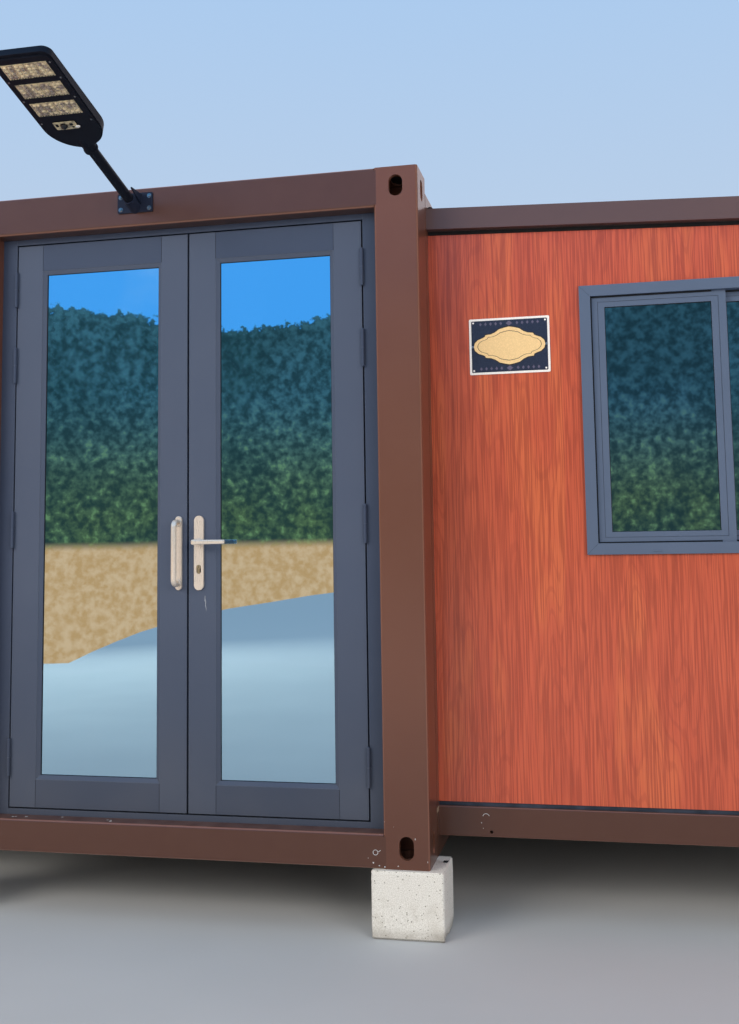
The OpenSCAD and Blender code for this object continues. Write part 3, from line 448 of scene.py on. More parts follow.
def slot_outline(width, length, steps=10):
    """A long round-ended outline, centred, its length along the second axis."""
    r, reach = width / 2, (length - width) / 2
    turns = [math.pi * i / steps for i in range(steps + 1)]
    return [(end * r * math.cos(turn), end * (reach + r * math.sin(turn)))
            for end in (1, -1) for turn in turns]


def card_outline(width, height, r, steps=5):
    """A rectangle with round corners, centred."""
    points = []
    for i, (sx, sy) in enumerate(((1, 1), (-1, 1), (-1, -1), (1, -1))):
        for k in range(steps + 1):
            turn = math.pi / 2 * (i + k / steps)
            points.append((sx * (width / 2 - r) + r * math.cos(turn),
                           sy * (height / 2 - r) + r * math.sin(turn)))
    return points


def plate(bm, outline, put, depth, ease=0.0, slot=0):
    """A plate from an outline, standing out from its seat by depth, with its front edge eased."""
    rings = [[put(u, v, 0) for u, v in outline], [put(u, v, depth - ease) for u, v in outline]]
    if ease:
        inner = []
        for i, (u, v) in enumerate(outline):
            (ua, va), (ub, vb) = outline[i - 1], outline[(i + 1) % len(outline)]
            along = Vector((ub - ua, vb - va)).normalized()
            inner.append((u - along.y * ease, v + along.x * ease))
        mid = [((a + c) / 2, (b + d) / 2) for (a, b), (c, d) in zip(outline, inner)]
        rings.append([put(u, v, depth - ease * 0.3) for u, v in mid])
        rings.append([put(u, v, depth) for u, v in inner])
    loft(bm, rings, slot)


def facing(origin, right=(1, 0, 0), out=(0, -1, 0)):
    """Turns places on a face, in millimetres right, up and out, into places in the scene."""
    right, out = Vector(right), Vector(out)

    def put(u, v, w):
        return origin + (right * u + Vector((0, 0, 1)) * v + out * w) / 1000

    return put


def shifted(put, u0, v0, w0):
    """The same face, with its middle moved."""
    return lambda u, v, w: put(u + u0, v + v0, w + w0)


def smoothed(mesh, degrees):
    """The mesh, smooth where it curves by less than an angle."""
    mesh.shade_smooth()
    mesh.set_sharp_from_angle(angle=math.radians(degrees))
    return mesh


def meshed(bm, name):
    """A mesh from bmesh, which is freed."""
    mesh = bpy.data.meshes.new(name)
    bm.to_mesh(mesh)
    bm.free()
    return mesh


def placed(name, data):
    """An object in the scene."""
    made = bpy.data.objects.new(name, data)
    bpy.context.scene.collection.objects.link(made)
    return made


def piece(name, shape, body, slot, *materials):
    """An object of the cabin, from a bmesh or a mesh, that rides on a body."""
    mesh = shape
    if isinstance(shape, bmesh.types.BMesh):
        bmesh.ops.recalc_face_normals(shape, faces=shape.faces)
        mesh = smoothed(meshed(shape, name), 30)
    if not mesh.materials:
        for made_of in materials:
            mesh.materials.append(made_of)
    made = placed(name, mesh)
    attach(made, body)
    return made


# Geometry Nodes: heads, domes and beads set out on a carrier mesh


def seeds(points):
    """A carrier of loose points, each with the way that it faces."""
    mesh = bpy.data.meshes.new("seeds")
    mesh.from_pydata([tuple(p) for p, way in points], [], [])
    aim = mesh.attributes.new("aim", "FLOAT_VECTOR", "POINT")
    for item, (p, way) in zip(aim.data, points):
        item.vector = way
    return mesh


def lines(paths):
    """A carrier of edges: each path is its points and whether it closes."""
    points, edges = [], []
    for path, closed in paths:
        first, last = len(points), len(points) + len(path) - 1
        points += [tuple(p) for p in path]
        edges += [(i, i + 1) for i in range(first, last)]
        if closed:
            edges.append((last, first))
    mesh = bpy.data.meshes.new("lines")
    mesh.from_pydata(points, edges, [])
    return mesh


def grow(name, body, slot, carrier, build, made_of, **sizes):
    """Grows a carrier into a piece by a node tree with named sizes."""
    tree = bpy.data.node_groups.new(name, "GeometryNodeTree")
    tree.interface.new_socket("Geometry", in_out="INPUT", socket_type="NodeSocketGeometry")
    tree.interface.new_socket("Geometry", in_out="OUTPUT", socket_type="NodeSocketGeometry")
    kinds = {float: "NodeSocketFloat", int: "NodeSocketInt"}
    named = {key: tree.interface.new_socket(key.replace("_", " ").capitalize(), in_out="INPUT",
                                            socket_type=kinds[type(value)]).identifier
             for key, value in sizes.items()}
    inputs = tree.nodes.new("NodeGroupInput")
    given = {key: next(s for s in inputs.outputs if s.identifier == named[key]) for key in sizes}
    made = build(tree, inputs.outputs[0], **given)
    real = add(tree, "GeometryNodeRealizeInstances", {"Geometry": made})
    painted = add(tree, "GeometryNodeSetMaterial", {"Geometry": real, "Material": made_of})
    add(tree, "NodeGroupOutput", {0: painted})
    holder = placed(name, carrier)
    modifier = holder.modifiers.new(name, "NODES")
    modifier.node_group = tree
    for key, value in sizes.items():
        modifier[named[key]] = value
    seen = holder.evaluated_get(bpy.context.evaluated_depsgraph_get())
    mesh = bpy.data.meshes.new_from_object(seen)
    holder.modifiers.clear()
    bpy.data.objects.remove(holder)
    mesh.name = name
    piece(name, smoothed(mesh, 40), body, slot, made_of)


def set_out(tree, points, shape):
    """Puts a shape on each point, turned the way that the point faces."""
    way = add(tree, "GeometryNodeInputNamedAttribute", {"Name": "aim"}, out="Attribute",
              data_type="FLOAT_VECTOR")
    turn = add(tree, "FunctionNodeAlignRotationToVector", {"Vector": way}, axis="Z")
    return add(tree, "GeometryNodeInstanceOnPoints", {"Points": points, "Instance": shape,
                                                      "Rotation": turn})


def heads(tree, carrier, radius, height, sides, washer):
    """Screw or bolt heads, each on a round washer."""
    collar = add(tree, "GeometryNodeMeshCylinder",
                 {"Vertices": 20, "Radius": add(tree, "times", radius, washer),
                  "Depth": add(tree, "times", height, 0.4)}, out="Mesh")
    top = add(tree, "GeometryNodeMeshCone",
              {"Vertices": sides, "Radius Top": add(tree, "times", radius, 0.86),
               "Radius Bottom": radius, "Depth": height}, out="Mesh")
    both = tree.nodes.new("GeometryNodeJoinGeometry")
    tree.links.new(collar, both.inputs[0])
    tree.links.new(top, both.inputs[0])
    return set_out(tree, carrier, both.outputs[0])


def domes(tree, carrier, radius, height, segments, rings):
    """Low domes, closed underneath."""
    ball = add(tree, "GeometryNodeMeshUVSphere", {"Segments": segments, "Rings": rings,
                                                  "Radius": 1.0}, out="Mesh")
    size = add(tree, "ShaderNodeCombineXYZ", {"X": radius, "Y": radius, "Z": height})
    return set_out(tree, carrier, add(tree, "GeometryNodeTransform",
                                      {"Geometry": ball, "Scale": size}))


def beads(tree, carrier, radius, sides):
    """Round beads along the carrier's edges, closed at open ends."""
    path = add(tree, "GeometryNodeMeshToCurve", {"Mesh": carrier}, out="Curve")
    section = add(tree, "GeometryNodeCurvePrimitiveCircle", {"Resolution": sides,
                                                             "Radius": radius}, out="Curve")
    return add(tree, "GeometryNodeCurveToMesh", {"Curve": path, "Profile Curve": section,
                                                 "Fill Caps": True}, out="Mesh")


def rim(u0, v0, u1, v1):
    """The corners of an upright rectangle, from its low left round to its high left."""
    return [(u0, v0), (u1, v0), (u1, v1), (u0, v1)]


# Doors

LEAVES = ("right", "left")
LEAF_FACE = 67
LEAF_BACK = 117
LEAF_Z = (144, 2305)
RAIL_MM = 103
BEAD_MM = 15
HINGE_X, HINGE_Y = 699, 58.5
HINGE_Z = (327, 1186, 1829, 2131)
HINGE_H = 136
LEVER_X, LEVER_Z = 64, 1128
CYLINDER_DROP = 100
CORE_RISE = 8
PULL_X = -17
GRIP_OUT = 44
PLATE_T = 9
PLATE_RISE = 98
PLATE_H = 275


def glass_gaskets():
    """Rubber lips round each leaf's glass, outside and inside: partly real gaskets, partly
    painted shadow between the bead and the glass.
    """
    for side in LEAVES:
        lo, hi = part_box(side + "_leaf_glass")
        inset = BEAD_MM / 1000
        corners = rim(lo.x + inset, lo.z + inset, hi.x - inset, hi.z - inset)
        paths = [([(x, y, z) for x, z in corners], True) for y in (lo.y - 0.0006, hi.y + 0.0006)]
        grow(side + "_leaf_gaskets", side + "_leaf", "door_metal", lines(paths), beads, RUBBER,
             radius=0.003, sides=8)


def leaf_joints():
    """Sealed joint lines where a leaf's rails meet its stiles, on both faces."""
    for side in LEAVES:
        lo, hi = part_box(side + "_leaf_rails")
        rails = (lo.z, lo.z + RAIL_MM / 1000), (hi.z - RAIL_MM / 1000, hi.z)
        bm = bmesh.new()
        for x, (z0, z1), y in product((lo.x, hi.x), rails, (lo.y, hi.y)):
            block(bm, (x - 0.0007, y - 0.0003, z0 + 0.001), (x + 0.0007, y + 0.0003, z1 - 0.001))
        piece(side + "_leaf_joints", bm, side + "_leaf", "door_metal", RUBBER)


def meeting_seal():
    """The lip of rubber on the left leaf that closes the gap between the leaves."""
    bm = bmesh.new()
    profile = [(14, 104), (17, 103), (18.4, 106), (18.4, 110), (17, 113), (14, 112)]
    loft(bm, [[at(x, y, z) for x, y in profile] for z in (LEAF_Z[0] + 2, LEAF_Z[1] - 2)])
    piece("meeting_seal", bm, "left_leaf", "door_metal", RUBBER)


def hinge_caps():
    """Domed caps on the ends of the hinge barrels: the frame's below, the leaves' above."""
    for owner, rider, signs, end in (("frame", "cabin", (1, -1), -1),
                                     ("right", "right_leaf", (1,), 1),
                                     ("left", "left_leaf", (-1,), 1)):
        points = [(at(s * HINGE_X, HINGE_Y, z + end * HINGE_H / 2), (0, 0, end))
                  for s in signs for z in HINGE_Z]
        grow(owner + "_hinge_caps", rider, "door_metal", seeds(points), domes, DARK_SLATE,
             radius=0.0064, height=0.004, segments=16, rings=8)


def lever_faces():
    """The two faces of the right leaf at the lever's pivot, outside first."""
    return (facing(at(LEVER_X, LEAF_FACE - PLATE_T, LEVER_Z)),
            facing(at(LEVER_X, LEAF_BACK + PLATE_T, LEVER_Z), out=(0, 1, 0)))


# The lever's bar: places along it, its height and its depth
BAR = [(-11, 13, 9), (-8, 18.5, 13), (-2, 20, 14.5), (6, 19, 14), (16, 17.6, 12.5),
       (60, 16.6, 11.5), (104, 16, 11), (114, 15.4, 10.4), (117, 13, 8)]


def lever_bar():
    """The lever: a round boss on its neck, and a bar that tapers a little to a blunt tip."""
    bm = bmesh.new()
    for put in lever_faces():
        loft(bm, [[put(u, v, 46 + w)
                   for v, w in card_outline(high, deep, min(high, deep) * 0.34)]
                  for u, high, deep in BAR])
        neck = [(0, 9.5), (38, 9.5), (40, 10.5), (47, 10.5)]
        loft(bm, [[put(r * math.cos(a), r * math.sin(a), w) for a in TURNS] for w, r in neck])
    loft(bm, [[at(LEVER_X + 9 * math.cos(a), y, LEVER_Z + 9 * math.sin(a)) for a in TURNS]
              for y in (LEAF_FACE - PLATE_T, LEAF_BACK + PLATE_T)])
    lever = piece("lever_bar", bm, "lever", "handle_metal", CHAMPAGNE)
    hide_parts("door_lever")


def lever_roses():
    """Low collars round the lever's neck, one on each plate."""
    bm = bmesh.new()
    for put in lever_faces():
        turned(bm, [(10.2, 0), (15, 0), (15, 2), (13.6, 3.4), (10.2, 3.6)], put)
    piece("lever_roses", bm, "right_leaf", "handle_metal", CHAMPAGNE)


def key_cylinder():
    """The profile cylinder through the leaf: a round core over a narrow tongue, with keyways."""
    bm = bmesh.new()
    r, tongue = 8.4, 4.9
    swing = math.asin(tongue / r)
    top = [(r * math.sin(a), CORE_RISE + r * math.cos(a))
           for a in [(math.pi - swing) * (1 - 2 * i / 22) for i in range(23)]]
    foot = [(-tongue * math.cos(a), -11.5 - tongue * math.sin(a))
            for a in [math.pi * i / 8 for i in range(9)]]
    middle = at(LEVER_X, 0, LEVER_Z - CYLINDER_DROP)
    ends = (LEAF_FACE - PLATE_T - 2, LEAF_BACK + PLATE_T + 2)
    loft(bm, [[middle + Vector((u, y, v)) / 1000 for u, v in top + foot] for y in ends])
    for y, out in zip(ends, (-1, 1)):
        way = facing(at(LEVER_X, y, LEVER_Z - CYLINDER_DROP + CORE_RISE), out=(0, out, 0))
        plate(bm, card_outline(11.6, 11.6, 5.6, 6), way, 0.5, 0.2)
        plate(bm, card_outline(1.6, 7.6, 0.6, 2), shifted(way, 0, 0, 0.5), 0.15, slot=1)
    lock = piece("key_cylinder", bm, "right_leaf", "brass_metal", BRASS, RUBBER)
    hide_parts("lock_cylinder")


def pull_grip():
    """The pull handle: a bevelled back plate, and an oval grip bent back to it at both ends."""
    bm = bmesh.new()
    middle = LEVER_Z + PLATE_RISE - PLATE_H / 2
    put = facing(at(PULL_X, LEAF_FACE, middle))
    plate(bm, slot_outline(26, PLATE_H), put, PLATE_T, 2.2)
    reach, half, bend = PLATE_T + GRIP_OUT, 117, 20
    corner = [(half - bend + bend * math.sin(a), reach - bend + bend * math.cos(a))
              for a in [math.pi / 2 * i / 6 for i in range(7)]]
    path = [(-v, w) for v, w in corner[::-1]] + corner
    path = [(path[0][0], 6)] + path + [(path[-1][0], 6)]
    rings = []
    for i, (v, w) in enumerate(path):
        (va, wa), (vb, wb) = path[max(i - 1, 0)], path[min(i + 1, len(path) - 1)]
        along = Vector((vb - va, wb - wa)).normalized()
        rings.append([put(10.5 * math.cos(a), v - along.y * 7.5 * math.sin(a),
                          w + along.x * 7.5 * math.sin(a)) for a in TURNS])
    loft(bm, rings)
    collar = [(9, 0), (13.6, 0), (13.6, 4), (12, 6), (9, 6)]
    for v in (-half, half):
        turned(bm, collar, shifted(put, 0, v * 0.955, PLATE_T))
    pull = piece("pull_grip", bm, "left_leaf", "handle_metal", CHAMPAGNE)
    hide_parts("pull_handle")


def paint_scratch():
    """A ragged scrape to the metal below the key, and a short one beside it."""
    bm = bmesh.new()
    for x, z0, z1, wide in ((88, 874, 931, 2.6), (84, 905, 926, 1.2)):
        left, right = [], []
        for i in range(15):
            z = z0 + (z1 - z0) * i / 14
            lean = 0.9 * math.sin(i * 0.9) - (i - 7) * 0.25
            half = wide / 2 * (0.35 + 0.65 * random.random()) * math.sin(math.pi * (i + 1) / 16)
            left.append((x + lean - half, z))
            right.append((x + lean + half, z))
        loft(bm, [[at(u, y, v) for u, v in right + left[::-1]]
                  for y in (LEAF_FACE - 0.15, LEAF_FACE)])
    piece("paint_scratch", bm, "right_leaf", "door_metal", SCRATCH)


# Core frame


def flush_joints():
    """Weld metal ground flush where the beams meet the corner fittings, front and rear."""
    bm = bmesh.new()
    for sx, (y, inward), (z0, z1) in product((-1, 1), ((FRONT, 1), (REAR, -1)),
                                             ((9, 108), (2342, 2471))):
        block(bm, (sx * (SILL_END - 0.0005), y + inward * 0.00005, BASE + z0 / 1000),
              (sx * (SILL_END + 0.010), y + inward * 0.010, BASE + z1 / 1000))
    piece("flush_joints", bm, "cabin", "frame_paint", BEAM_BROWN)


# Flakes off the enamel: across, behind the posts' faces, height, and the flake's size
FLAKES = [(748, 2, 111, 9, 8), (724, 0, 20, 6, 7), (706, 0, 35, 3, 3), (745, 0, 11, 6, 4),
          (764, 0, 8, 5, 6), (811, 0, 12, 7, 4), (765, 2, 158, 4, 5), (872, 0, 104, 3, 9),
          (797, 0, 142, 3, 2), (1075, 216, 114, 4, 4), (1081, 216, 95, 4, 3), (914, 0, 30, 3, 8)]
# Flakes on the sill's ledge: across and behind the posts' faces
LEDGE_FLAKES = [(-661, 32), (-650, 34), (-610, 40), (-470, 52), (-282, 38), (-268, 34),
                (-262, 20)]
LEDGE_Z = 117
# Rings scraped by a tool: across, behind the posts' faces, height, radius, share of a turn
RINGS = [(732, 0, 54.4, 8.5, 1.0), (1092, 216, 134, 12, 0.4)]


def paint_chips():
    """Flakes and rings where the enamel is chipped, at the front right foot and on the sill."""
    bm = bmesh.new()
    for x, y, z, wide, high in FLAKES:
        ragged = [(0.5 * (0.6 + 0.4 * random.random()), math.tau * i / 9) for i in range(9)]
        outline = [(x + wide * r * math.cos(a), z + high * r * math.sin(a)) for r, a in ragged]
        loft(bm, [[at(u, y + w, v) for u, v in outline] for w in (-0.2, 2)])
    for x, y in LEDGE_FLAKES:
        long, wide = 4 + 3 * random.random(), 2 + 2 * random.random()
        outline = [(x + long * math.cos(a), y + wide * math.sin(a)) for a in TURNS[::3]]
        loft(bm, [[at(u, v, LEDGE_Z + w) for u, v in outline] for w in (-1, 0.2)])
    piece("paint_chips", bm, "cabin", "frame_paint", SCRATCH)
    paths = [([at(742, 0.8, 57), at(750, 0.8, 62)], False)]
    for x, y, z, r, share in RINGS:
        turns = [math.radians(20) + math.tau * share * i / 20 for i in range(21)]
        path = [at(x + r * math.cos(a), y + 0.8, z + r * math.sin(a)) for a in turns]
        paths.append((path[:-1] if share == 1 else path, share == 1))
    grow("paint_rings", "cabin", "frame_paint", lines(paths), beads, SCRATCH,
         radius=0.0012, sides=8)


def slot_plugs():
    """Rubber plugs in the lifting slots of the top fittings, just under the deck's face."""
    lo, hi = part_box("top_fittings")
    bm = bmesh.new()
    for sx, y in product((-1, 1), (lo.y + 0.089, hi.y - 0.089)):
        middle = Vector((sx * (hi.x - 0.0805), y, hi.z - 0.012))
        for depth, size in ((0.010, 0), (0.004, -9)):
            outline = slot_outline(62 + size, 108.5 + size)
            loft(bm, [[middle + Vector((u / 1000, v / 1000, -w)) for u, v in outline]
                      for w in (depth, -depth / 2)])
    piece("slot_plugs", bm, "cabin", "lamp_black", RUBBER)


# Wings

WING_X = (922, 3000)
WALL_Y = 224
CORE_L = 5850
CORE_H = 2480
WING_TOP = CORE_H - 111
FASCIA_H = 80
FALL = 0.038
# Height of the black strip under the roof edge: a seal and painted shadow under the overhang
SEAL_H = 14


def roof_top(x):
    """Height of a wing's roof at a distance from the middle."""
    return WING_TOP - (x - WING_X[0]) * FALL


def wall_seals():
    """Black rubber strips between the roof and the walls, under each fascia and each eave beam:
    partly a real seal and partly painted shadow under the overhang.
    """
    bm = bmesh.new()
    for sx in (-1, 1):
        for y0, y1 in ((WALL_Y - 3, WALL_Y), (CORE_L - WALL_Y, CORE_L - WALL_Y + 3)):
            section = ((y0, 0), (y1, 0), (y1, -SEAL_H), (y0, -SEAL_H))
            loft(bm, [[at(sx * x, y, roof_top(x) - FASCIA_H + dz) for y, dz in section]
                      for x in (WING_X[0] + 1, WING_X[1] - 2)])
        z = roof_top(WING_X[1]) - FASCIA_H
        block(bm, at(sx * WING_X[1], WALL_Y + 3, z - SEAL_H),
              at(sx * (WING_X[1] + 3), CORE_L - WALL_Y - 3, z - 0.3))
    piece("wall_seals", bm, "cabin", "dark_track", RUBBER)


def wall_joints():
    """Sealed joints between the panels of the side walls and of the core's rear wall."""
    bm = bmesh.new()
    top = roof_top(WING_X[1]) - FASCIA_H - SEAL_H
    for sx, y in product((-1, 1), (1000, 2150, 3700, 4850)):
        block(bm, at(sx * WING_X[1], y - 1.5, 190), at(sx * (WING_X[1] + 0.6), y + 1.5, top))
    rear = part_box("core_back_wall")[1].y
    block(bm, (-0.0015, rear, BASE + 0.12), (0.0015, rear + 0.0006, BASE + 2.33))
    piece("wall_joints", bm, "cabin", "wood_film", RUBBER)


def roof_seals():
    """Rubber beads along the joint of each wing's roof with the core."""
    paths = [([at(sx * (WING_X[0] + 9), y, WING_TOP + 5)
               for y in (WALL_Y + 2, CORE_L - WALL_Y - 2)], False) for sx in (-1, 1)]
    grow("roof_seals", "cabin", "dark_track", lines(paths), beads, RUBBER,
         radius=0.014, sides=16)


def roof_screws():
    """Screws with washers between the wing roofs' seams, in three rows across each wing."""
    lean = Vector((FALL, 0, 1)).normalized()
    points = [(at(sx * x, CORE_L / 2 + (i - 8) * 300, roof_top(x) + 1), (sx * lean.x, 0, lean.z))
              for sx, i, x in product((-1, 1), range(17), (1010, 1960, 2930))]
    grow("roof_screws", "cabin", "zinc_steel", seeds(points), heads, ZINC,
         radius=0.005, height=0.006, sides=6, washer=1.9)


# Windows

WINDOW = 985, 980
WINDOW_Z = 1552
END_WINDOW_X = 1971
SIDE_WINDOW_Y = (1574.5, 4275.5)
SASH_GLASS = 375.5, 820
SASH_OFFSET = 214.75
SASH_GLASS_Y = (12, 38)
FLANGE = 12
CHANNEL_IN = 42
GROOVE_OUT = (24, 19)


def window_faces():
    """The outer face of the wall at the middle of each window."""
    for sx in (-1, 1):
        for y, out in ((WALL_Y, -1), (CORE_L - WALL_Y, 1)):
            yield facing(at(sx * END_WINDOW_X, y, WINDOW_Z), right=(-out, 0, 0), out=(0, out, 0))
        for y in SIDE_WINDOW_Y:
            yield facing(at(sx * WING_X[1], y, WINDOW_Z), right=(0, sx, 0), out=(sx, 0, 0))


def window_gaskets():
    """Rubber lips round the glass of each sash, and a groove and a channel line round it. The
    channel line is partly a gasket and partly painted shade in the gap between frame and sash.
    """
    lips, grooves, channels = [], [], []
    (gu, gv), w, h = GROOVE_OUT, SASH_GLASS[0] / 2, SASH_GLASS[1] / 2
    reach, rise = WINDOW[0] / 2 - CHANNEL_IN, WINDOW[1] / 2 - CHANNEL_IN
    for put in window_faces():
        for side, deep in zip((-1, 1), SASH_GLASS_Y):
            u = side * SASH_OFFSET
            channel = [(side * 25, rise), (side * reach, rise), (side * reach, -rise),
                       (side * 25, -rise)]
            for paths, corners, out, closed in (
                    (lips, rim(u - w, -h, u + w, h), 0.5, True),
                    (grooves, rim(u - w - gu, -h - gv, u + w + gu, h + gv), 8.2, True),
                    (channels, channel, 8.6, False)):
                paths.append(([put(a, b, out - deep) for a, b in corners], closed))
    # The channel line is a black bead: partly a gasket, partly painted shade in the gap
    for name, paths, made_of, radius, sides in (("window_gaskets", lips, RUBBER, 0.003, 8),
                                                ("sash_grooves", grooves, TRACK, 0.0009, 6),
                                                ("sash_channels", channels, RUBBER, 0.004, 8)):
        grow(name, "cabin", "window_metal", lines(paths), beads, made_of,
             radius=radius, sides=sides)


def window_fittings():
    """Drain caps on the window frames, and the frames' mitred corner joints."""
    bm = bmesh.new()
    w, h = WINDOW[0] / 2, WINDOW[1] / 2
    for put in window_faces():
        for u in (-w / 2, w / 2):
            plate(bm, card_outline(30, 7, 3, 4), shifted(put, u, 12 - h, FLANGE), 2.4, 1.0)
        for su, sv in product((-1, 1), (-1, 1)):
            corner = Vector((su * (w - 0.5), sv * (h - 0.5)))
            inner = Vector((su * (w - 39.5), sv * (h - 39.5)))
            across = Vector((-(inner - corner).y, (inner - corner).x)).normalized() * 0.3
            outline = [corner + across, inner + across, inner - across, corner - across]
            loft(bm, [[put(p.x, p.y, FLANGE + lift) for p in outline] for lift in (-0.1, 0.15)],
                 1)
    piece("window_fittings", bm, "cabin", "window_metal", BLUE_GREY, RUBBER)


# Sign

SIGN = (297, 210)
SIGN_AT = (WING_X[0] + 298, WALL_Y - 3, CORE_H - 643)
MOTIF_V = 84
# The cartouche's layers: share across, share up, how far out, depth and ink
LAYERS = [(1.03, 1.06, 0.5, 0.4, 2), (1, 1, 0.9, 0.4, 1), (0.9, 0.8, 1.3, 0.15, 2),
          (0.885, 0.77, 1.45, 0.1, 1)]


def cartouche(wide, high):
    """A long panel with round ends, stepped shoulders, and a point at its top and foot."""
    w, h = wide / 2, high / 2
    quarter = [(w, 0), (w * 0.97, h * 0.2), (w * 0.88, h * 0.36), (w * 0.76, h * 0.44),
               (w * 0.69, h * 0.5), (w * 0.67, h * 0.6), (w * 0.52, h * 0.63),
               (w * 0.4, h * 0.72), (w * 0.28, h * 0.88), (w * 0.14, h * 0.95), (0, h)]
    upper = quarter + [(-u, v) for u, v in quarter[-2::-1]]
    return upper + [(u, -v) for u, v in upper[-2:0:-1]]


def sign_art():
    """Generic ornament on the plate: a navy field, a blank cream cartouche and small motifs."""
    bm = bmesh.new()
    put = facing(at(*SIGN_AT))
    plate(bm, card_outline(SIGN[0] - 16, SIGN[1] - 16, 4), put, 0.5)
    for across, up, out, depth, ink in LAYERS:
        outline = [(u * across, v * up) for u, v in cartouche(264, 142)]
        plate(bm, outline, shifted(put, 0, 0, out), depth, slot=ink)
    for su, sv in product((-1, 1), (-1, 1)):
        for k in range(5):
            spot = shifted(put, su * (30 + 19 * k), sv * MOTIF_V, 0.5)
            plate(bm, [(0, -7), (5, 0), (0, 7), (-5, 0)], spot, 0.3, slot=3)
        plate(bm, card_outline(7, 7, 3.4, 4), shifted(put, su * 133, sv * 90, 0.5), 0.6, 0.2, 4)
    for v in (-MOTIF_V, MOTIF_V):
        plate(bm, [(0, -10), (12, 0), (0, 10), (-12, 0)], shifted(put, 0, v, 0.5), 0.3, slot=3)
    piece("sign_art", bm, "cabin", "sign_enamel", SIGN_FIELD, SIGN_CREAM, SIGN_LINE, SIGN_FAINT,
          SIGN_RIM)
    points = [(put(s * 136, 0, 0.9), (0, -1, 0)) for s in (-1, 1)]
    grow("sign_screws", "cabin", "zinc_steel", seeds(points), heads, ZINC,
         radius=0.0035, height=0.003, sides=24, washer=1.3)


# Lamp

LAMP_ROOT = (-170, 2405)
LAMP_TILT = math.radians(15)
ARM_L = 418
HEAD_DROP = 20
PANEL_ALONG, PANEL_PITCH = 222.5, 95
MODULE_PITCH = 38.5


def under_lamp(across, along, out):
    """A place on the head's underside: millimetres left to right, along the lamp from the arm's
    end, and down out of the cover."""
    s, t = ARM_L + along, -HEAD_DROP - out
    return at(LAMP_ROOT[0] + across, -(s * math.cos(LAMP_TILT) - t * math.sin(LAMP_TILT)),
              LAMP_ROOT[1] + s * math.sin(LAMP_TILT) + t * math.cos(LAMP_TILT))


LAMP_DOWN = tuple(under_lamp(0, 0, 1) - under_lamp(0, 0, 0))


def lamp_lenses():
    """Four lens modules on each light panel, each with a grid of domes over its chips."""
    bm = bmesh.new()
    points, spots = [], []
    for row, k in product(range(3), range(4)):
        along, across = PANEL_ALONG + PANEL_PITCH * row, (k - 1.5) * MODULE_PITCH
        loft(bm, [[under_lamp(across + u, along + v, w) for u, v in card_outline(36, 60, 3, 3)]
                  for w in (-0.5, 1.2)])
        points += [(under_lamp(across + (i - 0.5) * 16, along + (j - 1.5) * 14, 1.0), LAMP_DOWN)
                   for i, j in product(range(2), range(4))]
        spots += [(under_lamp(across + (i - 1.5) * 9, along - 31.5, 0.2), LAMP_DOWN)
                  for i in range(4)]
    piece("lens_modules", bm, "cabin", "lamp_lens", LENS)
    grow("lens_domes", "cabin", "lamp_lens", seeds(points), domes, LENS,
         radius=0.0066, height=0.0036, segments=16, rings=8)
    grow("board_chips", "cabin", "lamp_lens", seeds(spots), heads, RUBBER,
         radius=0.0018, height=0.0014, sides=8, washer=1.2)


def lamp_screws():
    """Screws round the lamp's cover and through the bracket's plate."""
    points = [(under_lamp(s * 90, v, 0), LAMP_DOWN)
              for s, v in product((-1, 1), (150, 270, 366, 440))]
    grow("cover_screws", "cabin", "zinc_steel", seeds(points), heads, ZINC,
         radius=0.003, height=0.002, sides=16, washer=1.2)
    bolts = [(at(LAMP_ROOT[0] + s * 58, -6, 2422 + t * 24), (0, -1, 0))
             for s, t in product((-1, 1), (-1, 1))]
    grow("bracket_bolts", "cabin", "zinc_steel", seeds(bolts), heads, ZINC,
         radius=0.0065, height=0.006, sides=6, washer=1.35)


def sensor_face():
    """The strip round the motion sensor: cream board, a black dome, square parts and a clip."""
    bm = bmesh.new()
    put = shifted(under_lamp, -9, 135, 3)
    plate(bm, card_outline(80, 40, 4, 4), put, 0.8, 0.3, 0)
    rings = []
    for turn in [math.pi / 2 * k / 6 for k in range(7)]:
        r = max(13 * math.cos(turn), 0.4)
        rings.append([put(-6 + r * math.cos(a), r * math.sin(a), 0.5 + 12 * math.sin(turn))
                      for a in TURNS])
    loft(bm, rings, 1)
    for u, v, wide, high in ((22, 6, 11, 11), (24, -9, 8, 6), (-29, 4, 9, 12)):
        plate(bm, card_outline(wide, high, 1.2, 2), shifted(put, u, v, 0.8), 2.2, 0.6, 1)
    plate(bm, card_outline(16, 9, 4, 4), shifted(put, 40, -9, 0), 3.5, 1, 2)
    sensor = piece("sensor_face", bm, "cabin", "lamp_black", BOARD, DOME, SIGN_RIM)
    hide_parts("lamp_sensor")


# Supports

BLOCK_GRID = 0.008
HOLE_SIZE = 0.016, 0.030, 0.045
HOLE_IN = 0.016
HOLE_BACK = 0.146
HOLE_SLACK = 0.002


def in_hole(middle, lo, hi):
    """Whether a face's middle lies in one of the blocks' lifting holes."""
    aside = min(abs(middle.x - hi.x + HOLE_IN), abs(middle.x + hi.x - HOLE_IN),
                abs(middle.x - lo.x - HOLE_IN))
    behind = min(abs(middle.y - lo.y - HOLE_BACK), abs(middle.y - hi.y + HOLE_BACK))
    return (aside < HOLE_SIZE[0] / 2 + HOLE_SLACK and behind < HOLE_SIZE[1] / 2 + HOLE_SLACK
            and 0.0004 < hi.z - middle.z < HOLE_SIZE[2] + HOLE_SLACK)


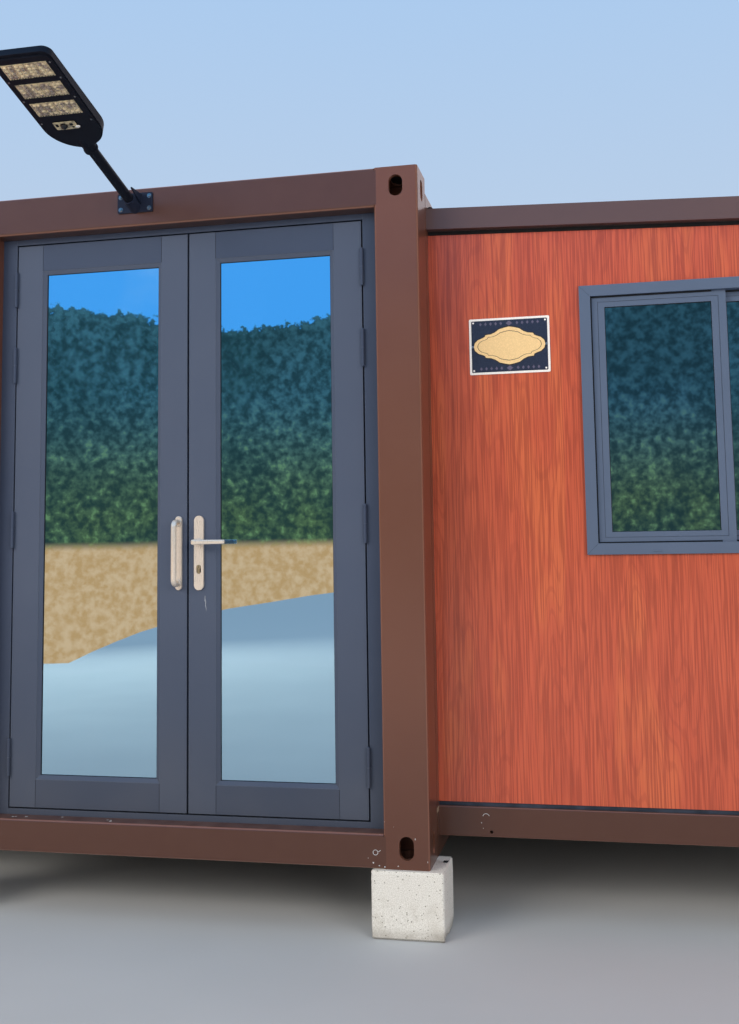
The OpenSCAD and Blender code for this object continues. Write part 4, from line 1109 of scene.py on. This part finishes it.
def rough_blocks():
    """The concrete blocks, cast rough: their edges worn, their faces drawn in by up to 2 mm
    where the mould pitted them, and by up to 8 mm where the foot is chipped."""
    bm = bmesh.new()
    bm.from_mesh(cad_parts["corner_blocks"].data)
    bmesh.ops.remove_doubles(bm, verts=bm.verts, dist=0.0002)
    bmesh.ops.dissolve_limit(bm, angle_limit=0.02, verts=bm.verts, edges=bm.edges)
    worn = [e for e in bm.edges if e.calc_face_angle() > 1.2
            and (e.calc_length() > 0.1 or e.calc_length() < 0.008)]
    bmesh.ops.bevel(bm, geom=worn, offset=0.004, segments=2, affect="EDGES", clamp_overlap=True)
    lo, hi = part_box("corner_blocks")
    for axis in range(3):
        way = Vector([float(i == axis) for i in range(3)])
        for step in range(1, int((hi[axis] - lo[axis]) / BLOCK_GRID)):
            plane = lo[axis] + step * BLOCK_GRID
            if any(abs(v.co[axis] - plane) < BLOCK_GRID for v in bm.verts):
                bmesh.ops.bisect_plane(bm, geom=bm.verts[:] + bm.edges[:] + bm.faces[:],
                                       plane_co=way * plane, plane_no=way)
    bmesh.ops.triangulate(bm, faces=bm.faces)
    bm.normal_update()
    for vertex in bm.verts:
        place, way = vertex.co.copy(), vertex.normal.copy()
        if place.z < lo.z + 0.0005:
            way = Vector((way.x, way.y, 0))
        grain = max(0, noise.fractal(place * 55, 0.9, 2.0, 3)) * 0.0016
        broad = max(0, noise.noise(place * 14)) * 0.002
        foot = max(0, 1 - (place.z - lo.z) / 0.03) * max(0, noise.noise(place * 22) + 0.1) * 0.014
        vertex.co = place - way * (grain + broad + foot)
    # Faces inside the lifting holes take the near-black concrete: painted shade
    for face in bm.faces:
        face.material_index = int(in_hole(face.calc_center_median(), lo, hi))
    mesh = smoothed(meshed(bm, "rough_blocks"), 50)
    blocks = piece("rough_blocks", mesh, "cabin", "concrete", CONCRETE, DAMP_CONCRETE)
    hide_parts("corner_blocks")


def dress_cabin():
    for dress in (glass_gaskets, leaf_joints, meeting_seal, hinge_caps, lever_bar, lever_roses,
                  key_cylinder, pull_grip, paint_scratch, flush_joints, paint_chips, slot_plugs,
                  wall_seals, wall_joints, roof_seals, roof_screws, window_gaskets,
                  window_fittings, sign_art, lamp_lenses, lamp_screws, sensor_face,
                  rough_blocks):
        dress()


# Camera, floor and lights


def add_camera():
    """The camera of the photograph."""
    data = bpy.data.cameras.new("camera")
    data.sensor_width = SENSOR_MM
    data.lens = FOCAL_PX / PHOTO_PX[1] * SENSOR_MM
    data.shift_x = ((PHOTO_PX[0] - 1) / 2 - AXIS_PX[0]) / PHOTO_PX[1]
    data.shift_y = (AXIS_PX[1] - PHOTO_PX[1] / 2) / PHOTO_PX[1]
    camera = placed("camera", data)
    turn = Matrix.Rotation(math.radians(CAMERA_TURN), 4, "Z")
    tilt = Matrix.Rotation(math.radians(90 + CAMERA_TILT), 4, "X")
    roll = Matrix.Rotation(math.radians(CAMERA_ROLL), 4, "Z")
    stand = Matrix.Translation(Vector(CAMERA_AT) + Vector((0, FRONT, BASE)))
    camera.matrix_world = stand @ turn @ tilt @ roll
    bpy.context.scene.camera = camera


def pale_floor(node, place):
    """A studio floor: pale with a soft mottle, paler far away."""
    base = node("mix", node("noise", place, per(900), 4.0), "#b4b9be", "#c2c6ca")
    far = node("ShaderNodeVectorMath", {0: place}, out="Value", operation="LENGTH")
    return {"Base Color": node("mix", node("ease", far, 8.5, 15), base, "#f1f2f3"),
            "Roughness": 0.85, "Specular IOR Level": 0.2}


# The floor in metres: how far it reaches, how much nearer it ends ahead on the left, its height
FLOOR_REACH, FLOOR_NEARER, FLOOR_Z = 36, 24.5, -0.001


def add_floor():
    """A wide pale floor. It ends nearer ahead of the cabin on the left."""
    bm = bmesh.new()
    middle, edge = bm.verts.new((0, 0, FLOOR_Z)), []
    for degree in range(-180, 180):
        nearer = max(0, min(1, (-97 - degree) / 17)) * max(0, min(1, (degree + 180) / 20))
        ragged = noise.noise(Vector((degree * 0.35, 0, 0))) * 0.05
        reach = (FLOOR_REACH - FLOOR_NEARER * nearer) * (1 + ragged * nearer)
        turn = math.radians(degree)
        edge.append(bm.verts.new((reach * math.cos(turn), reach * math.sin(turn), FLOOR_Z)))
    for a, b in zip(edge, edge[1:] + edge[:1]):
        bm.faces.new((middle, a, b))
    mesh = meshed(bm, "studio_floor")
    mesh.materials.append(material("studio_floor_pale", pale_floor))
    placed("studio_floor", mesh)


def mirrored_colours(node, toward, across, ahead, rise):
    """What the glass mirrors: blue over a mottled green band with a ragged top, ochre below
    it, and pale light behind the cabin."""
    fine = node("noise", toward, 150.0, 6.0, 0.6)
    broad = node("noise", toward, 11.0, 3.0)
    wisps = node("noise", toward, 5.0, 6.0)
    aside = node("plus", across, 0.35)
    bow = node("times", node("times", aside, aside), 0.2)
    over = node("minus", node("minus", rise, bow), node("times", fine, 0.034))
    over = node("minus", over, node("times", broad, 0.05))
    blue = node("mix", node("ease", wisps, 0.55, 0.75, 0.0, 0.4), "#59b1f8", "#d6e8f8")
    blue = node("mix", node("ease", ahead, 0.1, 0.5), blue, "#f0e8f0")
    green = node("mix", node("ease", rise, 0.02, 0.14), "#6b7d52", "#47707c")
    green = node("mix", node("ease", broad, 0.6, 0.35, 0.0, 0.5), green, "#2f4e50")
    green = node("mix", node("ease", fine, 0.66, 0.36, 0.0, 0.8), green, "#1c3338")
    flecks = node("times", node("ease", fine, 0.56, 0.7, 0.0, 0.55),
                  node("ease", rise, 0.16, 0.04))
    green = node("mix", flecks, green, "#8fae72")
    ochre = node("mix", node("ease", fine, 0.35, 0.65), "#ffc493", "#e8a970")
    low = node("mix", node("ease", rise, -0.004, 0.006), ochre, green)
    return node("mix", node("ease", over, 0.155, 0.158), low, blue)


def add_world():
    """A plain pale backdrop for the camera, soft even light on the cabin, and mirrored colours
    for what shines."""
    world = bpy.data.worlds.new("studio")
    bpy.context.scene.world = world
    world.use_nodes = True
    tree = world.node_tree
    tree.nodes.clear()
    toward = add(tree, "ShaderNodeTexCoord", out="Generated")
    rise = add(tree, "height", toward)
    across, ahead = rise.node.outputs["X"], rise.node.outputs["Y"]
    backdrop = add(tree, "ShaderNodeValToRGB", {"Fac": rise}, out="Color",
                   stops=[(0.0, "#b0bfd0"), (0.5, "#a9caef"), (0.12, "#c3d2e4")])
    soft = add(tree, "ShaderNodeValToRGB", {"Fac": rise}, out="Color",
               stops=[(0.0, "#e9e4dc"), (0.6, "#c6d5e6")])
    shown = mirrored_colours(partial(add, tree), toward, across, ahead, rise)
    mirrored = add(tree, "ShaderNodeBackground", {"Color": shown, "Strength": 1.2})
    even = add(tree, "ShaderNodeBackground", {"Color": soft, "Strength": 0.85})
    plain = add(tree, "ShaderNodeBackground", {"Color": backdrop, "Strength": 1.0})
    glossy = add(tree, "ShaderNodeLightPath", out="Is Glossy Ray")
    camera = glossy.node.outputs["Is Camera Ray"]
    light = add(tree, "ShaderNodeMixShader", {0: glossy, 1: even, 2: mirrored})
    surface = add(tree, "ShaderNodeMixShader", {0: camera, 1: light, 2: plain})
    add(tree, "ShaderNodeOutputWorld", {"Surface": surface})


# Soft boxes: name, place, what it points at, size, power and tint
LIGHTS = [
    ("key", (-5, FRONT - 7.5, 5), (0.6, FRONT, 0.9), (6, 4), 560, "#fff3e2"),
    ("fill", (7, FRONT - 7, 4), (1.4, FRONT, 0.7), (5, 4), 340, "#fff3e6"),
    ("back", (-4, REAR + 8, 6), (0, REAR, 1), (6, 4), 520, "#fff6ea"),
]


def add_lights():
    for name, place, aim, size, power, tint in LIGHTS:
        data = bpy.data.lights.new(name, "AREA")
        data.shape = "RECTANGLE"
        data.size, data.size_y = size
        data.energy = power
        data.color = colour(tint)[:3]
        light = placed(name, data)
        light.location = place
        light.rotation_mode = "QUATERNION"
        light.rotation_quaternion = (Vector(aim) - Vector(place)).to_track_quat("-Z", "Y")
        light.visible_glossy = False


add_camera()
finish_nodes()
dress_cabin()
add_floor()
add_world()
add_lights()
bpy.context.scene.view_settings.view_transform = "Standard"
